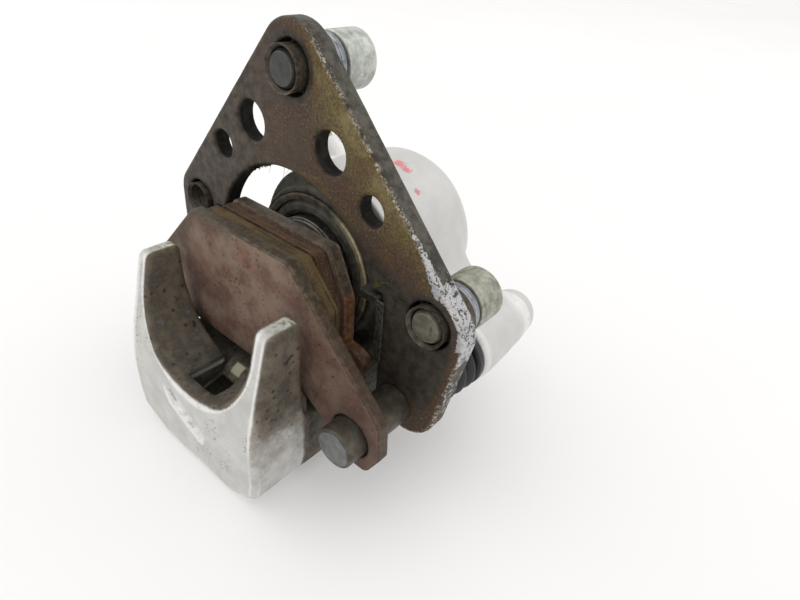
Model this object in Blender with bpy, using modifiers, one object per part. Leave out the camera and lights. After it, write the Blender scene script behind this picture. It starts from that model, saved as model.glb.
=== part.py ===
"""Single-piston floating brake caliper on its triangular mounting bracket, with pads and mounting bolts.

Units are metres, +Z up. The caliper rests on the flat underside of its bridge. The origin is on that flat,
straight below the piston axis, in the plane of the bracket's front face. +Y runs from the claw towards the
cylinder and +X is to the right when looking from the claw side. Outlines are drawn in X and Z about the
piston axis, and distances along Y are counted from the bracket's front face.
"""

import math

import bmesh
import bpy
from mathutils import Vector

MM = 0.001
GAP = 0.3 * MM
SIDES = 28

AXIS_HEIGHT = 53.0 * MM

# bracket plate
PLATE_THICK = 6.0 * MM
TOP_BOLT = (2.0 * MM, 63.0 * MM)
RIGHT_BOLT = (54.3 * MM, 9.0 * MM)
RIGHT_CORNER = (54.8 * MM, 7.2 * MM)
LEFT_BUSH = (-47.2 * MM, 9.8 * MM)
LEFT_CORNER = (-48.7 * MM, 10.0 * MM)
RIGHT_PIN = (46.0 * MM, -24.0 * MM)
LEFT_PIN = (-46.0 * MM, -24.0 * MM)
RIGHT_ARM = (49.3 * MM, -21.3 * MM)
LEFT_ARM = (-48.5 * MM, -22.0 * MM)
TOP_CORNER_R = 12.0 * MM
RIGHT_CORNER_R = 11.3 * MM
LEFT_CORNER_R = 10.0 * MM
ARM_CORNER_R = 11.3 * MM
ARCH_R = 35.0 * MM
GUIDE_HALF = 38.0 * MM
GUIDE_TOP = 11.0 * MM
BIG_HOLE_R = 6.0 * MM
SMALL_HOLE_R = 4.5 * MM
BIG_HOLES = ((-16.0 * MM, 45.0 * MM), (16.5 * MM, 44.5 * MM))
SMALL_HOLES = ((-31.0 * MM, 34.0 * MM), (32.0 * MM, 33.5 * MM))

# threaded bushes, M10 bolts and washers
BUSH_R = 7.1 * MM
LEFT_BUSH_R = 6.9 * MM
BUSH_FLANGE_R = 9.4 * MM
TOP_BUSH_PROUD = 3.2 * MM
SIDE_BUSH_PROUD = 1.5 * MM
BUSH_REAR = 9.0 * MM
BUSH_BORE_R = 5.2 * MM
BOLT_R = 4.9 * MM
BOLT_HEAD_R = 8.2 * MM
BOLT_HEAD_LENGTH = 10.8 * MM
HEX_SOCKET = 8.0 * MM
HEX_DEPTH = 5.0 * MM
WASHER_R = 7.7 * MM
WASHER_BORE_R = 5.3 * MM
FLAT_WASHER = 1.7 * MM
SPRING_WASHER = 2.4 * MM

# guide pins, fixed in the bracket
PIN_R = 6.4 * MM
PIN_FRONT = -26.0 * MM
PIN_NECK_R = 5.0 * MM
PIN_RIVET_R = 8.0 * MM
PIN_SLIDE_R = 4.5 * MM
PIN_END = 55.0 * MM

# pads
BACKING_THICK = 4.5 * MM
LINING_THICK = 4.6 * MM
OUTER_PAD_FRONT = -19.3 * MM
PAD_EAR_HOLE_R = 7.0 * MM
SHIM_THICK = 0.6 * MM

# cylinder, piston and seals
BORE_R = 17.3 * MM
BORE_END = 54.5 * MM
PISTON_R = 17.0 * MM
PISTON_FRONT = 1.2 * MM
PISTON_LENGTH = 31.0 * MM
CUP_R = 12.5 * MM
RIM_R = 26.0 * MM
RIM_FRONT = 9.5 * MM
CASTING_FRONT = 14.5 * MM
CYLINDER_R = 29.5 * MM
CYLINDER_REAR = 62.5 * MM
DUST_SEAT_R = 24.3 * MM
DUST_SEAT_END = 13.5 * MM
SEAL_GROOVE_R = 20.2 * MM
SEAL_GROOVE = (23.0 * MM, 26.6 * MM)

# claw and bridge
CLAW_TIP_FRONT = -33.0 * MM
CLAW_FRONT = -41.5 * MM
CLAW_REAR = -22.5 * MM
CLAW_TOP = 9.0 * MM
SLOPE_FOOT = -24.0 * MM
NOTCH_R = 24.5 * MM
BRIDGE_REAR = 34.0 * MM
WINDOW_HALF = 6.6 * MM
WINDOW = (-35.5 * MM, -9.5 * MM)
ROTOR_EDGE_R = 114.0 * MM
ROTOR_AXIS = 85.0 * MM

# sliding bosses on the caliper
BOSS_FRONT = 33.5 * MM
BOSS_REAR = 73.0 * MM
BOSS_R = 11.5 * MM
BOSS_TIP_R = 8.5 * MM
BOSS_BORE_R = 4.85 * MM
BOSS_BORE_END = 64.0 * MM
BOOT_R = 11.0 * MM

# bleeder and hose port
BLEEDER_Y = 39.5 * MM
BLEEDER_ANGLE = math.radians(135.0)
BLEEDER_SEAT_R = 38.0 * MM
PORT_PLACE = (-9.0 * MM, -7.0 * MM)
PORT_FACE = 65.5 * MM


# ---------------------------------------------------------------- scene

for old in list(bpy.data.objects):
    bpy.data.objects.remove(old)

parts = bpy.data.collections.new("brake_caliper")
cutters = bpy.data.collections.new("cutters")
bpy.context.scene.collection.children.link(parts)
bpy.context.scene.collection.children.link(cutters)


def material(name, colour, roughness, metallic):
    made = bpy.data.materials.new(name)
    made.use_nodes = True
    shader = made.node_tree.nodes["Principled BSDF"]
    shader.inputs["Base Color"].default_value = (*colour, 1.0)
    shader.inputs["Roughness"].default_value = roughness
    shader.inputs["Metallic"].default_value = metallic
    return made


CAST = material("cast_aluminium", (0.62, 0.61, 0.59), 0.45, 0.8)
BRACKET_STEEL = material("bracket_steel", (0.16, 0.13, 0.09), 0.55, 0.6)
BUSH_STEEL = material("bush_steel", (0.12, 0.11, 0.10), 0.5, 0.7)
ZINC = material("zinc_plate", (0.45, 0.45, 0.42), 0.45, 0.8)
WASHER_STEEL = material("washer_steel", (0.25, 0.29, 0.33), 0.4, 0.9)
PIN_STEEL = material("pin_steel", (0.27, 0.26, 0.24), 0.4, 0.8)
BACKING = material("pad_backing", (0.30, 0.20, 0.17), 0.75, 0.2)
LINING = material("pad_lining", (0.26, 0.20, 0.12), 0.85, 0.0)
SHIM = material("shim_steel", (0.35, 0.34, 0.32), 0.4, 0.9)
PISTON_STEEL = material("piston_steel", (0.60, 0.60, 0.60), 0.2, 1.0)
RUBBER = material("black_rubber", (0.03, 0.03, 0.03), 0.7, 0.0)
SPRING_STEEL = material("spring_steel", (0.48, 0.45, 0.38), 0.4, 0.8)
BRASS = material("plated_bleeder", (0.55, 0.50, 0.35), 0.4, 0.9)


# ---------------------------------------------------------------- outlines

def arc(centre, radius, start, end, steps):
    """Points along an arc, from start to end in degrees."""
    points = []
    for i in range(steps + 1):
        angle = math.radians(start + (end - start) * i / steps)
        points.append((centre[0] + radius * math.cos(angle), centre[1] + radius * math.sin(angle)))
    return points


def ring(centre, radius, sides=SIDES):
    return arc(centre, radius, 0.0, 360.0 - 360.0 / sides, sides - 1)


def rounded(corners, steps=5):
    """An outline in millimetres with each corner (x, z, radius) rounded."""
    points = []
    count = len(corners)
    for i, (x, z, radius) in enumerate(corners):
        here = Vector((x, z))
        before = Vector(corners[i - 1][:2]) - here
        after = Vector(corners[(i + 1) % count][:2]) - here
        if radius == 0.0:
            points.append(here * MM)
            continue
        half = before.angle(after) / 2.0
        reach = radius / math.tan(half)
        first = here + before.normalized() * reach
        last = here + after.normalized() * reach
        centre = here + (before.normalized() + after.normalized()).normalized() * radius / math.sin(half)
        for k in range(steps + 1):
            spot = (first - centre).lerp(last - centre, k / steps)
            points.append((centre + spot.normalized() * radius) * MM)
    return [(p[0], p[1]) for p in points]


def hull_of_circles(circles, sides=36):
    """The outline of a band stretched round circles given as (centre, radius)."""
    spots = sorted({p for centre, radius in circles for p in ring(centre, radius, sides)})

    def chain(ordered):
        kept = []
        for p in ordered:
            while len(kept) > 1:
                a, b = kept[-2], kept[-1]
                if (b[0] - a[0]) * (p[1] - a[1]) - (b[1] - a[1]) * (p[0] - a[0]) > 1e-12:
                    break
                kept.pop()
            kept.append(p)
        return kept[:-1]

    return chain(spots) + chain(spots[::-1])


# ---------------------------------------------------------------- solids

def keep(obj, mat):
    """A finished part."""
    parts.objects.link(obj)
    obj.data.materials.append(mat)
    obj.data.shade_smooth()
    obj.data.set_sharp_from_angle(angle=math.radians(35.0))
    return obj


def tool(obj):
    """A shape that is only cut from, or joined to, another."""
    cutters.objects.link(obj)
    obj.hide_render = True
    obj.display_type = "WIRE"
    return obj


def baked(obj, name, turn):
    """A closed mesh of what the object shows, its points turned to the world's axes about the piston axis."""
    bpy.context.scene.collection.objects.link(obj)
    bpy.context.view_layer.update()
    seen = obj.evaluated_get(bpy.context.evaluated_depsgraph_get())
    mesh = bpy.data.meshes.new_from_object(seen)
    bpy.data.objects.remove(obj)
    work = bmesh.new()
    work.from_mesh(mesh)
    bmesh.ops.remove_doubles(work, verts=work.verts, dist=0.00001)
    for vert in work.verts:
        vert.co = turn(vert.co)
    work.normal_update()
    bmesh.ops.recalc_face_normals(work, faces=work.faces)
    work.to_mesh(mesh)
    work.free()
    made = bpy.data.objects.new(name, mesh)
    made.location = (0.0, 0.0, AXIS_HEIGHT)
    return made


def flat_curve(loops, thickness):
    """A filled 2D curve object: the first loop is solid and the rest are holes."""
    curve = bpy.data.curves.new("outline", "CURVE")
    curve.dimensions = "2D"
    curve.fill_mode = "BOTH"
    curve.extrude = thickness / 2.0
    for loop in loops:
        spline = curve.splines.new("POLY")
        spline.points.add(len(loop) - 1)
        spline.use_cyclic_u = True
        for point, (across, up) in zip(spline.points, loop):
            point.co = (across, up, 0.0, 1.0)
    return bpy.data.objects.new("outline", curve)


def slab(name, loops, front, rear):
    """A flat piece with outlines in X and Z, from front to rear along Y."""
    middle = (front + rear) / 2.0
    return baked(flat_curve(loops, rear - front), name, lambda p: (p.x, middle - p.z, p.y))


def profile_slab(name, loop, low, high):
    """A piece with one side profile in Y and Z, from low to high along X."""
    middle = (low + high) / 2.0
    return baked(flat_curve([loop], high - low), name, lambda p: (middle + p.z, p.x, p.y))


def plan_slab(name, loop, low, high):
    """A piece with one outline in X and Y, from low to high along Z."""
    middle = (low + high) / 2.0
    return baked(flat_curve([loop], high - low), name, lambda p: (p.x, p.y, middle + p.z))


def turned(name, profile, place=(0.0, 0.0), sides=SIDES, lift=None):
    """(radius, distance) pairs swept round an axis along Y through place, or round an axis lifted from it.

    lift is (angle, along): the axis then leaves the piston axis at that angle, at that distance along Y.
    """
    mesh = bpy.data.meshes.new(name)
    verts = [(radius, 0.0, distance) for radius, distance in profile]
    edges = [(i, i + 1) for i in range(len(verts) - 1)]
    if profile[0][0] > 0.0:
        edges.append((len(verts) - 1, 0))
    mesh.from_pydata(verts, edges, [])
    obj = bpy.data.objects.new(name + "_profile", mesh)
    screw = obj.modifiers.new("turn", "SCREW")
    screw.steps = sides
    screw.render_steps = sides
    screw.use_merge_vertices = True
    screw.merge_threshold = 0.00001
    if lift is None:
        return baked(obj, name, lambda p: (place[0] + p.x, p.z, place[1] - p.y))
    angle, along = lift
    out = Vector((math.cos(angle), 0.0, math.sin(angle)))
    side = Vector((math.sin(angle), 0.0, -math.cos(angle)))
    return baked(obj, name, lambda p: out * p.z + side * p.x + Vector((0.0, p.y + along, 0.0)))


def cut(target, cutter):
    """Take the cutter's shape out of the target."""
    step = target.modifiers.new("cut_" + cutter.name, "BOOLEAN")
    step.operation = "DIFFERENCE"
    step.solver = "EXACT"
    step.object = tool(cutter)


def join(target, addition):
    """Make the addition one body with the target."""
    step = target.modifiers.new("join_" + addition.name, "BOOLEAN")
    step.operation = "UNION"
    step.solver = "EXACT"
    step.object = tool(addition)


def mirrored(points):
    """The whole outline from its right half, listed from the top down to the bottom."""
    return points + [(-x, z, r) for x, z, r in reversed(points)]


# ---------------------------------------------------------------- bracket

def make_bracket():
    corners = (
        (TOP_BOLT, TOP_CORNER_R),
        (RIGHT_CORNER, RIGHT_CORNER_R),
        (RIGHT_ARM, ARM_CORNER_R),
        (LEFT_ARM, ARM_CORNER_R),
        (LEFT_CORNER, LEFT_CORNER_R),
    )
    holes = [ring(place, BIG_HOLE_R, 24) for place in BIG_HOLES]
    holes += [ring(place, SMALL_HOLE_R, 20) for place in SMALL_HOLES]
    holes += [ring(place, BUSH_R + GAP) for place in (TOP_BOLT, RIGHT_BOLT)]
    holes.append(ring(LEFT_BUSH, LEFT_BUSH_R + GAP))
    holes += [ring(place, PIN_NECK_R + GAP, 20) for place in (RIGHT_PIN, LEFT_PIN)]
    plate = slab("bracket_plate", [hull_of_circles(corners)] + holes, 0.0, PLATE_THICK)
    low = -60.0 * MM
    guide_angle = math.degrees(math.asin(GUIDE_TOP / ARCH_R))
    arch = arc((0.0, 0.0), ARCH_R, guide_angle, 180.0 - guide_angle, 28)
    opening = [(GUIDE_HALF, low), (GUIDE_HALF, GUIDE_TOP)] + arch
    opening += [(-GUIDE_HALF, GUIDE_TOP), (-GUIDE_HALF, low)]
    cut(plate, slab("pad_opening", [opening], -5.0 * MM, PLATE_THICK + 5.0 * MM))
    return keep(plate, BRACKET_STEEL)


def make_bush(name, place, radius, flange_r, proud):
    """Pressed-in threaded bush: a collar in front of the plate and a flange behind it."""
    front = -proud
    flange = PLATE_THICK + GAP
    profile = (
        (BUSH_BORE_R, front),
        (radius - 0.6 * MM, front),
        (radius, front + 0.6 * MM),
        (radius, flange),
        (flange_r, flange),
        (flange_r, BUSH_REAR),
        (BUSH_BORE_R, BUSH_REAR),
    )
    return keep(turned(name, profile, place), BUSH_STEEL)


def make_bolt(name, place, turn, proud):
    """M10 cylinder-head bolt with its head behind the bracket and its tip flush with the bush."""
    under = BUSH_REAR + FLAT_WASHER + SPRING_WASHER + 3.0 * GAP
    head = under + BOLT_HEAD_LENGTH
    profile = (
        (0.0, -proud),
        (BOLT_R - 0.7 * MM, -proud),
        (BOLT_R, -proud + 0.7 * MM),
        (BOLT_R, under),
        (BOLT_HEAD_R, under),
        (BOLT_HEAD_R, head - 0.8 * MM),
        (BOLT_HEAD_R - 0.8 * MM, head),
        (0.0, head),
    )
    bolt = turned(name, profile, place)
    hexagon = arc(place, HEX_SOCKET / math.sqrt(3.0), turn, turn + 300.0, 5)
    cut(bolt, slab(name + "_socket", [hexagon], head - HEX_DEPTH, head + 1.0 * MM))
    return keep(bolt, ZINC)


def make_washers(side, place):
    front = BUSH_REAR + GAP
    rear = front + FLAT_WASHER
    flat = ((WASHER_BORE_R, front), (WASHER_R + 0.5 * MM, front), (WASHER_R + 0.5 * MM, rear), (WASHER_BORE_R, rear))
    keep(turned("flat_washer_" + side, flat, place), WASHER_STEEL)
    front = rear + GAP
    rear = front + SPRING_WASHER
    split = ((WASHER_BORE_R, front), (WASHER_R, front), (WASHER_R, rear), (WASHER_BORE_R, rear))
    washer = turned("spring_washer_" + side, split, place)
    x, z = place
    slot = [(x - 1.2 * MM, z), (x - 0.4 * MM, z), (x + 1.2 * MM, z - 12.0 * MM), (x + 0.4 * MM, z - 12.0 * MM)]
    cut(washer, slab("split_" + side, [slot], front - 1.0 * MM, rear + 1.0 * MM))
    keep(washer, WASHER_STEEL)


def make_guide_pin(name, place):
    """One pin: its thick front end carries the outer pad's ear, its thin rear end slides in the caliper."""
    rivet = PLATE_THICK + GAP
    profile = (
        (0.0, PIN_FRONT),
        (PIN_R - 0.9 * MM, PIN_FRONT),
        (PIN_R, PIN_FRONT + 0.9 * MM),
        (PIN_R, -GAP),
        (PIN_NECK_R, -GAP),
        (PIN_NECK_R, rivet),
        (PIN_RIVET_R, rivet),
        (PIN_RIVET_R, rivet + 1.4 * MM),
        (PIN_SLIDE_R, rivet + 2.2 * MM),
        (PIN_SLIDE_R, PIN_END - 1.0 * MM),
        (PIN_SLIDE_R - 1.0 * MM, PIN_END),
        (0.0, PIN_END),
    )
    return keep(turned(name, profile, place, sides=24), PIN_STEEL)


def make_pad_clip(name, side):
    """Spring-steel channel on the guide edge of the bracket, with a folded tab at its top."""
    thick = 0.8 * MM
    leg = 2.0 * MM
    low, high = -12.0 * MM, GUIDE_TOP - GAP
    edge = GUIDE_HALF - GAP
    bends = (
        (edge - thick, -GAP - thick),
        (edge + leg, -GAP - thick),
        (edge + leg, -GAP),
        (edge, -GAP),
        (edge, PLATE_THICK + GAP),
        (edge + leg, PLATE_THICK + GAP),
        (edge + leg, PLATE_THICK + GAP + thick),
        (edge - thick, PLATE_THICK + GAP + thick),
    )
    bends = [(side * x, y) for x, y in bends]
    clip = plan_slab(name, bends, low, high - 1.5 * MM)
    tab = rounded(((30.5, 7.2, 0.6), (37.6, 7.2, 0.3), (37.6, 10.2, 0.6), (30.5, 10.2, 0.6)), 2)
    tab = [(side * x, z) for x, z in tab]
    join(clip, slab(name + "_tab", [tab], -1.1 * MM, 9.5 * MM))
    return keep(clip, SPRING_STEEL)


# ---------------------------------------------------------------- pads

OUTER_BACKING = (
    (-26.5, 20.5, 2.5), (-39.4, 3.2, 2.0), (-56.4, -14.0, 2.5), (-57.0, -26.0, 3.0),
    (-52.5, -34.0, 3.0), (-44.0, -34.0, 3.0), (-34.5, -25.0, 3.0), (-28.0, -21.0, 2.0),
    (28.0, -21.0, 2.0), (34.5, -25.0, 3.0), (44.0, -34.0, 3.0), (52.5, -34.0, 3.0),
    (57.0, -26.0, 3.0), (56.4, -14.0, 2.5), (39.4, 3.2, 2.0), (21.5, 21.0, 2.5),
)
OUTER_FACING = (
    (-26.0, 19.8, 2.0), (-32.0, 9.0, 2.0), (-32.0, -10.0, 2.0), (-27.0, -20.0, 2.0),
    (27.0, -20.0, 2.0), (32.0, -10.0, 2.0), (32.0, 6.0, 2.0), (21.0, 20.2, 2.0),
)
INNER_FACING = (
    (-25.5, 19.6, 2.0), (-27.6, 5.0, 2.0), (-27.6, -10.0, 2.0), (-24.0, -20.0, 2.0),
    (24.0, -20.0, 2.0), (27.6, -10.0, 2.0), (27.6, 5.0, 2.0), (21.0, 19.6, 2.0),
)
INNER_BACKING = (
    (-26.0, 20.0, 2.0), (-28.4, 5.5, 2.0), (-28.4, -10.5, 0.8), (-32.0, -10.5, 3.6), (-36.4, -12.5, 2.0),
    (-36.4, -18.0, 2.0), (-32.0, -20.5, 3.0), (-26.0, -21.0, 2.0),
    (26.0, -21.0, 2.0), (32.0, -20.5, 3.0), (36.4, -18.0, 2.0), (36.4, -12.5, 2.0),
    (32.0, -10.5, 3.6), (28.4, -10.5, 0.8), (28.4, 5.5, 2.0), (21.5, 20.0, 2.0),
)


def make_pads():
    front = OUTER_PAD_FRONT
    ears = [ring(place, PAD_EAR_HOLE_R, 24) for place in (RIGHT_PIN, LEFT_PIN)]
    backing = slab("outer_backing_plate", [rounded(OUTER_BACKING, 3)] + ears, front, front + BACKING_THICK - GAP)
    front += BACKING_THICK
    lining = slab("outer_lining", [rounded(OUTER_FACING, 3)], front, front + LINING_THICK)
    rear = -BACKING_THICK
    facing = slab("inner_lining", [rounded(INNER_FACING, 3)], rear - LINING_THICK, rear - GAP)
    plate = slab("inner_backing_plate", [rounded(INNER_BACKING, 3)], rear, 0.0)
    shim = slab("inner_shim", [ring((0.0, 0.0), 19.0 * MM), ring((0.0, 0.0), 10.0 * MM, 28)], GAP, GAP + SHIM_THICK)
    keep(backing, BACKING)
    keep(lining, LINING)
    keep(facing, LINING)
    keep(plate, BACKING)
    keep(shim, SHIM)


# ---------------------------------------------------------------- caliper casting

def claw_outline():
    return rounded(mirrored([
        (31.0, 9.0, 2.5), (31.0, -40.0, 4.0), (29.5, -47.5, 4.0), (18.0, -53.0, 4.0),
    ]), 3)


def bridge_outline():
    """Flat underside, chamfered lower corners and an upper face that follows the rotor's edge."""
    start = math.degrees(math.acos(30.5 * MM / ROTOR_EDGE_R))
    top = arc((0.0, ROTOR_AXIS), ROTOR_EDGE_R, -start, start - 180.0, 8)
    lower = rounded(((-31.0, -34.0, 3.0), (-31.0, -40.0, 4.0), (-29.5, -47.5, 4.0), (-18.0, -53.0, 4.0),
                     (18.0, -53.0, 4.0), (29.5, -47.5, 4.0), (31.0, -40.0, 4.0), (31.0, -34.0, 3.0)), 3)
    return top + lower


def make_casting():
    casting = slab("caliper_body", [claw_outline()], CLAW_FRONT, CLAW_REAR)
    lean = (CLAW_TIP_FRONT - CLAW_FRONT) / (CLAW_TOP - SLOPE_FOOT)
    before, above = CLAW_FRONT - 2.0 * MM, CLAW_TOP + 3.0 * MM
    slope = (
        (before, SLOPE_FOOT - 2.0 * MM / lean),
        (CLAW_TIP_FRONT + 3.0 * MM * lean, above),
        (before, above),
    )
    cut(casting, profile_slab("claw_slope", slope, -40.0 * MM, 40.0 * MM))

    join(casting, slab("bridge", [bridge_outline()], CLAW_REAR - 9.0 * MM, BRIDGE_REAR))

    for side in (-1.0, 1.0):
        gusset = (
            (CLAW_REAR - 2.0 * MM, -16.0 * MM),
            (CLAW_REAR + 0.6 * MM, -16.0 * MM),
            (CLAW_REAR + 2.6 * MM, -20.0 * MM),
            (CLAW_REAR + 2.6 * MM, -26.0 * MM),
            (CLAW_REAR + 7.0 * MM, -28.0 * MM),
            (CLAW_REAR + 7.0 * MM, -36.0 * MM),
            (CLAW_REAR - 2.0 * MM, -36.0 * MM),
        )
        ends = sorted((side * 25.2 * MM, side * 29.7 * MM))
        join(casting, profile_slab("gusset" + ("_left" if side < 0 else "_right"), gusset, ends[0], ends[1]))

    barrel = (
        (0.0, RIM_FRONT),
        (RIM_R - 1.2 * MM, RIM_FRONT),
        (RIM_R, RIM_FRONT + 1.2 * MM),
        (RIM_R, CASTING_FRONT),
        (CYLINDER_R + 1.0 * MM, CASTING_FRONT + 0.8 * MM),
        (CYLINDER_R + 1.0 * MM, CASTING_FRONT + 14.0 * MM),
        (CYLINDER_R, CASTING_FRONT + 18.0 * MM),
        (CYLINDER_R - 0.9 * MM, CYLINDER_REAR - 5.5 * MM),
        (CYLINDER_R - 2.8 * MM, CYLINDER_REAR - 2.2 * MM),
        (CYLINDER_R - 7.0 * MM, CYLINDER_REAR),
        (0.0, CYLINDER_REAR),
    )
    join(casting, turned("barrel", barrel, sides=36))

    web = (
        (14.8 * MM, -18.0 * MM),
        (14.8 * MM, -36.0 * MM),
        (6.0 * MM, -42.0 * MM),
        (6.0 * MM, -51.0 * MM),
        (36.0 * MM, -51.0 * MM),
        (54.0 * MM, -30.0 * MM),
        (54.0 * MM, -14.0 * MM),
    )
    join(casting, profile_slab("web", web, -23.5 * MM, 23.5 * MM))

    for side, place in (("right", RIGHT_PIN), ("left", LEFT_PIN)):
        toward = (place[0] * 0.2, place[1] * 0.2)
        arm = hull_of_circles(((toward, 21.0 * MM), (place, 9.6 * MM)), 32)
        join(casting, slab("arm_" + side, [arm], BOSS_FRONT + 2.5 * MM, 53.0 * MM))
        boss = (
            (0.0, BOSS_FRONT),
            (BOSS_R - 1.5 * MM, BOSS_FRONT),
            (BOSS_R, BOSS_FRONT + 1.5 * MM),
            (BOSS_R, BOSS_FRONT + 6.0 * MM),
            (BOSS_TIP_R + 1.6 * MM, BOSS_REAR - 13.0 * MM),
            (BOSS_TIP_R, BOSS_REAR - 4.0 * MM),
            (BOSS_TIP_R - 2.6 * MM, BOSS_REAR - 0.9 * MM),
            (0.0, BOSS_REAR),
        )
        join(casting, turned("boss_" + side, boss, place, sides=24))

    lift = (BLEEDER_ANGLE, BLEEDER_Y)
    stub = ((0.0, 22.0 * MM), (8.0 * MM, 22.0 * MM), (7.2 * MM, BLEEDER_SEAT_R), (0.0, BLEEDER_SEAT_R))
    join(casting, turned("bleeder_boss", stub, lift=lift, sides=28))
    port = ((0.0, 52.0 * MM), (9.5 * MM, 52.0 * MM), (9.0 * MM, PORT_FACE), (0.0, PORT_FACE))
    join(casting, turned("hose_port_boss", port, PORT_PLACE, sides=24))

    notch = arc((0.0, 0.0), NOTCH_R, 180.0, 360.0, 24)
    notch += [(NOTCH_R, CLAW_TOP + 5.0 * MM), (-NOTCH_R, CLAW_TOP + 5.0 * MM)]
    cut(casting, slab("notch", [notch], CLAW_FRONT - 5.0 * MM, CLAW_REAR + 2.0 * MM))
    above, below = -15.0 * MM, -60.0 * MM
    window = [(-WINDOW_HALF, above), (-WINDOW_HALF, below), (WINDOW_HALF, below), (WINDOW_HALF, above)]
    cut(casting, slab("window", [window], WINDOW[0], WINDOW[1]))

    groove_front, groove_rear = SEAL_GROOVE
    bore = (
        (0.0, 0.0),
        (DUST_SEAT_R, 0.0),
        (DUST_SEAT_R, DUST_SEAT_END),
        (BORE_R, DUST_SEAT_END),
        (BORE_R, groove_front),
        (SEAL_GROOVE_R, groove_front),
        (SEAL_GROOVE_R, groove_rear),
        (BORE_R, groove_rear),
        (BORE_R, BORE_END - 1.0 * MM),
        (BORE_R - 1.0 * MM, BORE_END),
        (0.0, BORE_END),
    )
    cut(casting, turned("bore", bore, sides=36))
    for side, place in (("right", RIGHT_PIN), ("left", LEFT_PIN)):
        hole = ((0.0, 20.0 * MM), (BOSS_BORE_R, 20.0 * MM), (BOSS_BORE_R, BOSS_BORE_END), (0.0, BOSS_BORE_END))
        cut(casting, turned("pin_bore_" + side, hole, place, sides=28))
    drill = ((0.0, 12.0 * MM), (1.4 * MM, 12.0 * MM), (1.4 * MM, 26.0 * MM), (3.4 * MM, 28.0 * MM),
             (3.4 * MM, 45.0 * MM), (0.0, 45.0 * MM))
    cut(casting, turned("bleeder_hole", drill, lift=lift, sides=20))
    inlet = ((0.0, 50.0 * MM), (1.8 * MM, 50.0 * MM), (1.8 * MM, 57.0 * MM), (4.3 * MM, 58.0 * MM),
             (4.3 * MM, 70.0 * MM), (0.0, 70.0 * MM))
    cut(casting, turned("hose_inlet", inlet, PORT_PLACE, sides=24))
    return keep(casting, CAST)


# ---------------------------------------------------------------- pieces on the caliper

def make_boot(name, place):
    """Bellows rubber boot between the bracket's pin and the caliper's boss."""
    front = PLATE_THICK + GAP + 2.6 * MM
    rear = BOSS_FRONT - GAP
    folds = 4
    pitch = (rear - front - 5.0 * MM) / folds
    outer = [(BOOT_R - 3.6 * MM, front), (BOOT_R - 3.0 * MM, front + 1.5 * MM)]
    for i in range(folds):
        base = front + 2.0 * MM + i * pitch
        crest = BOOT_R - 1.4 * MM + 0.45 * MM * i
        outer += [(crest, base + 0.35 * pitch), (crest - 2.4 * MM, base + 0.85 * pitch)]
    outer += [(BOOT_R, rear - 2.6 * MM), (BOOT_R, rear)]
    inner = [(PIN_SLIDE_R + GAP, rear), (PIN_SLIDE_R + GAP, front)]
    return keep(turned(name, outer + inner, place, sides=24), RUBBER)


def make_piston_group():
    rear = PISTON_FRONT + PISTON_LENGTH
    cup = (
        (0.0, PISTON_FRONT + 24.0 * MM),
        (CUP_R - 1.0 * MM, PISTON_FRONT + 24.0 * MM),
        (CUP_R, PISTON_FRONT + 23.0 * MM),
        (CUP_R, PISTON_FRONT + 1.0 * MM),
        (CUP_R + 1.0 * MM, PISTON_FRONT),
        (PISTON_R - 0.6 * MM, PISTON_FRONT),
        (PISTON_R, PISTON_FRONT + 0.6 * MM),
        (PISTON_R, PISTON_FRONT + 3.0 * MM),
        (PISTON_R - 1.0 * MM, PISTON_FRONT + 3.4 * MM),
        (PISTON_R - 1.0 * MM, PISTON_FRONT + 5.6 * MM),
        (PISTON_R, PISTON_FRONT + 6.0 * MM),
        (PISTON_R, rear - 1.0 * MM),
        (PISTON_R - 1.0 * MM, rear),
        (0.0, rear),
    )
    keep(turned("piston", cup, sides=36), PISTON_STEEL)
    front, back = SEAL_GROOVE
    square = ((PISTON_R + GAP, front + GAP), (SEAL_GROOVE_R - GAP, front + GAP),
              (SEAL_GROOVE_R - GAP, back - GAP), (PISTON_R + GAP, back - GAP))
    keep(turned("piston_seal", square, sides=36), RUBBER)
    lip = (
        (PISTON_R + GAP, RIM_FRONT + 0.4 * MM),
        (PISTON_R + 2.0 * MM, RIM_FRONT),
        (PISTON_R + 3.6 * MM, RIM_FRONT + 1.2 * MM),
        (DUST_SEAT_R - 2.0 * MM, RIM_FRONT + 0.2 * MM),
        (DUST_SEAT_R - GAP, RIM_FRONT + 0.8 * MM),
        (DUST_SEAT_R - GAP, DUST_SEAT_END - GAP),
        (PISTON_R + 3.0 * MM, DUST_SEAT_END - GAP),
        (PISTON_R + GAP, RIM_FRONT + 2.4 * MM),
    )
    keep(turned("dust_seal", lip, sides=36), RUBBER)


def make_pad_spring():
    """Leaf spring in the bridge window that presses both pads away from the bridge."""
    thick = 0.8
    path = ((-34.6, -36.0), (-33.0, -30.5), (-27.0, -29.5), (-21.0, -25.2), (-13.0, -24.8), (-10.6, -31.0), (-10.6, -36.0))
    upper = [(y * MM, z * MM) for y, z in path]
    lower = []
    for i, (y, z) in enumerate(path):
        before = Vector(path[max(i - 1, 0)])
        after = Vector(path[min(i + 1, len(path) - 1)])
        run = (after - before).normalized()
        lower.append(((y + run.y * thick) * MM, (z - run.x * thick) * MM))
    half = WINDOW_HALF - 0.6 * MM
    strip = profile_slab("pad_spring", upper + lower[::-1], -half, half)
    return keep(strip, SPRING_STEEL)


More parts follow.
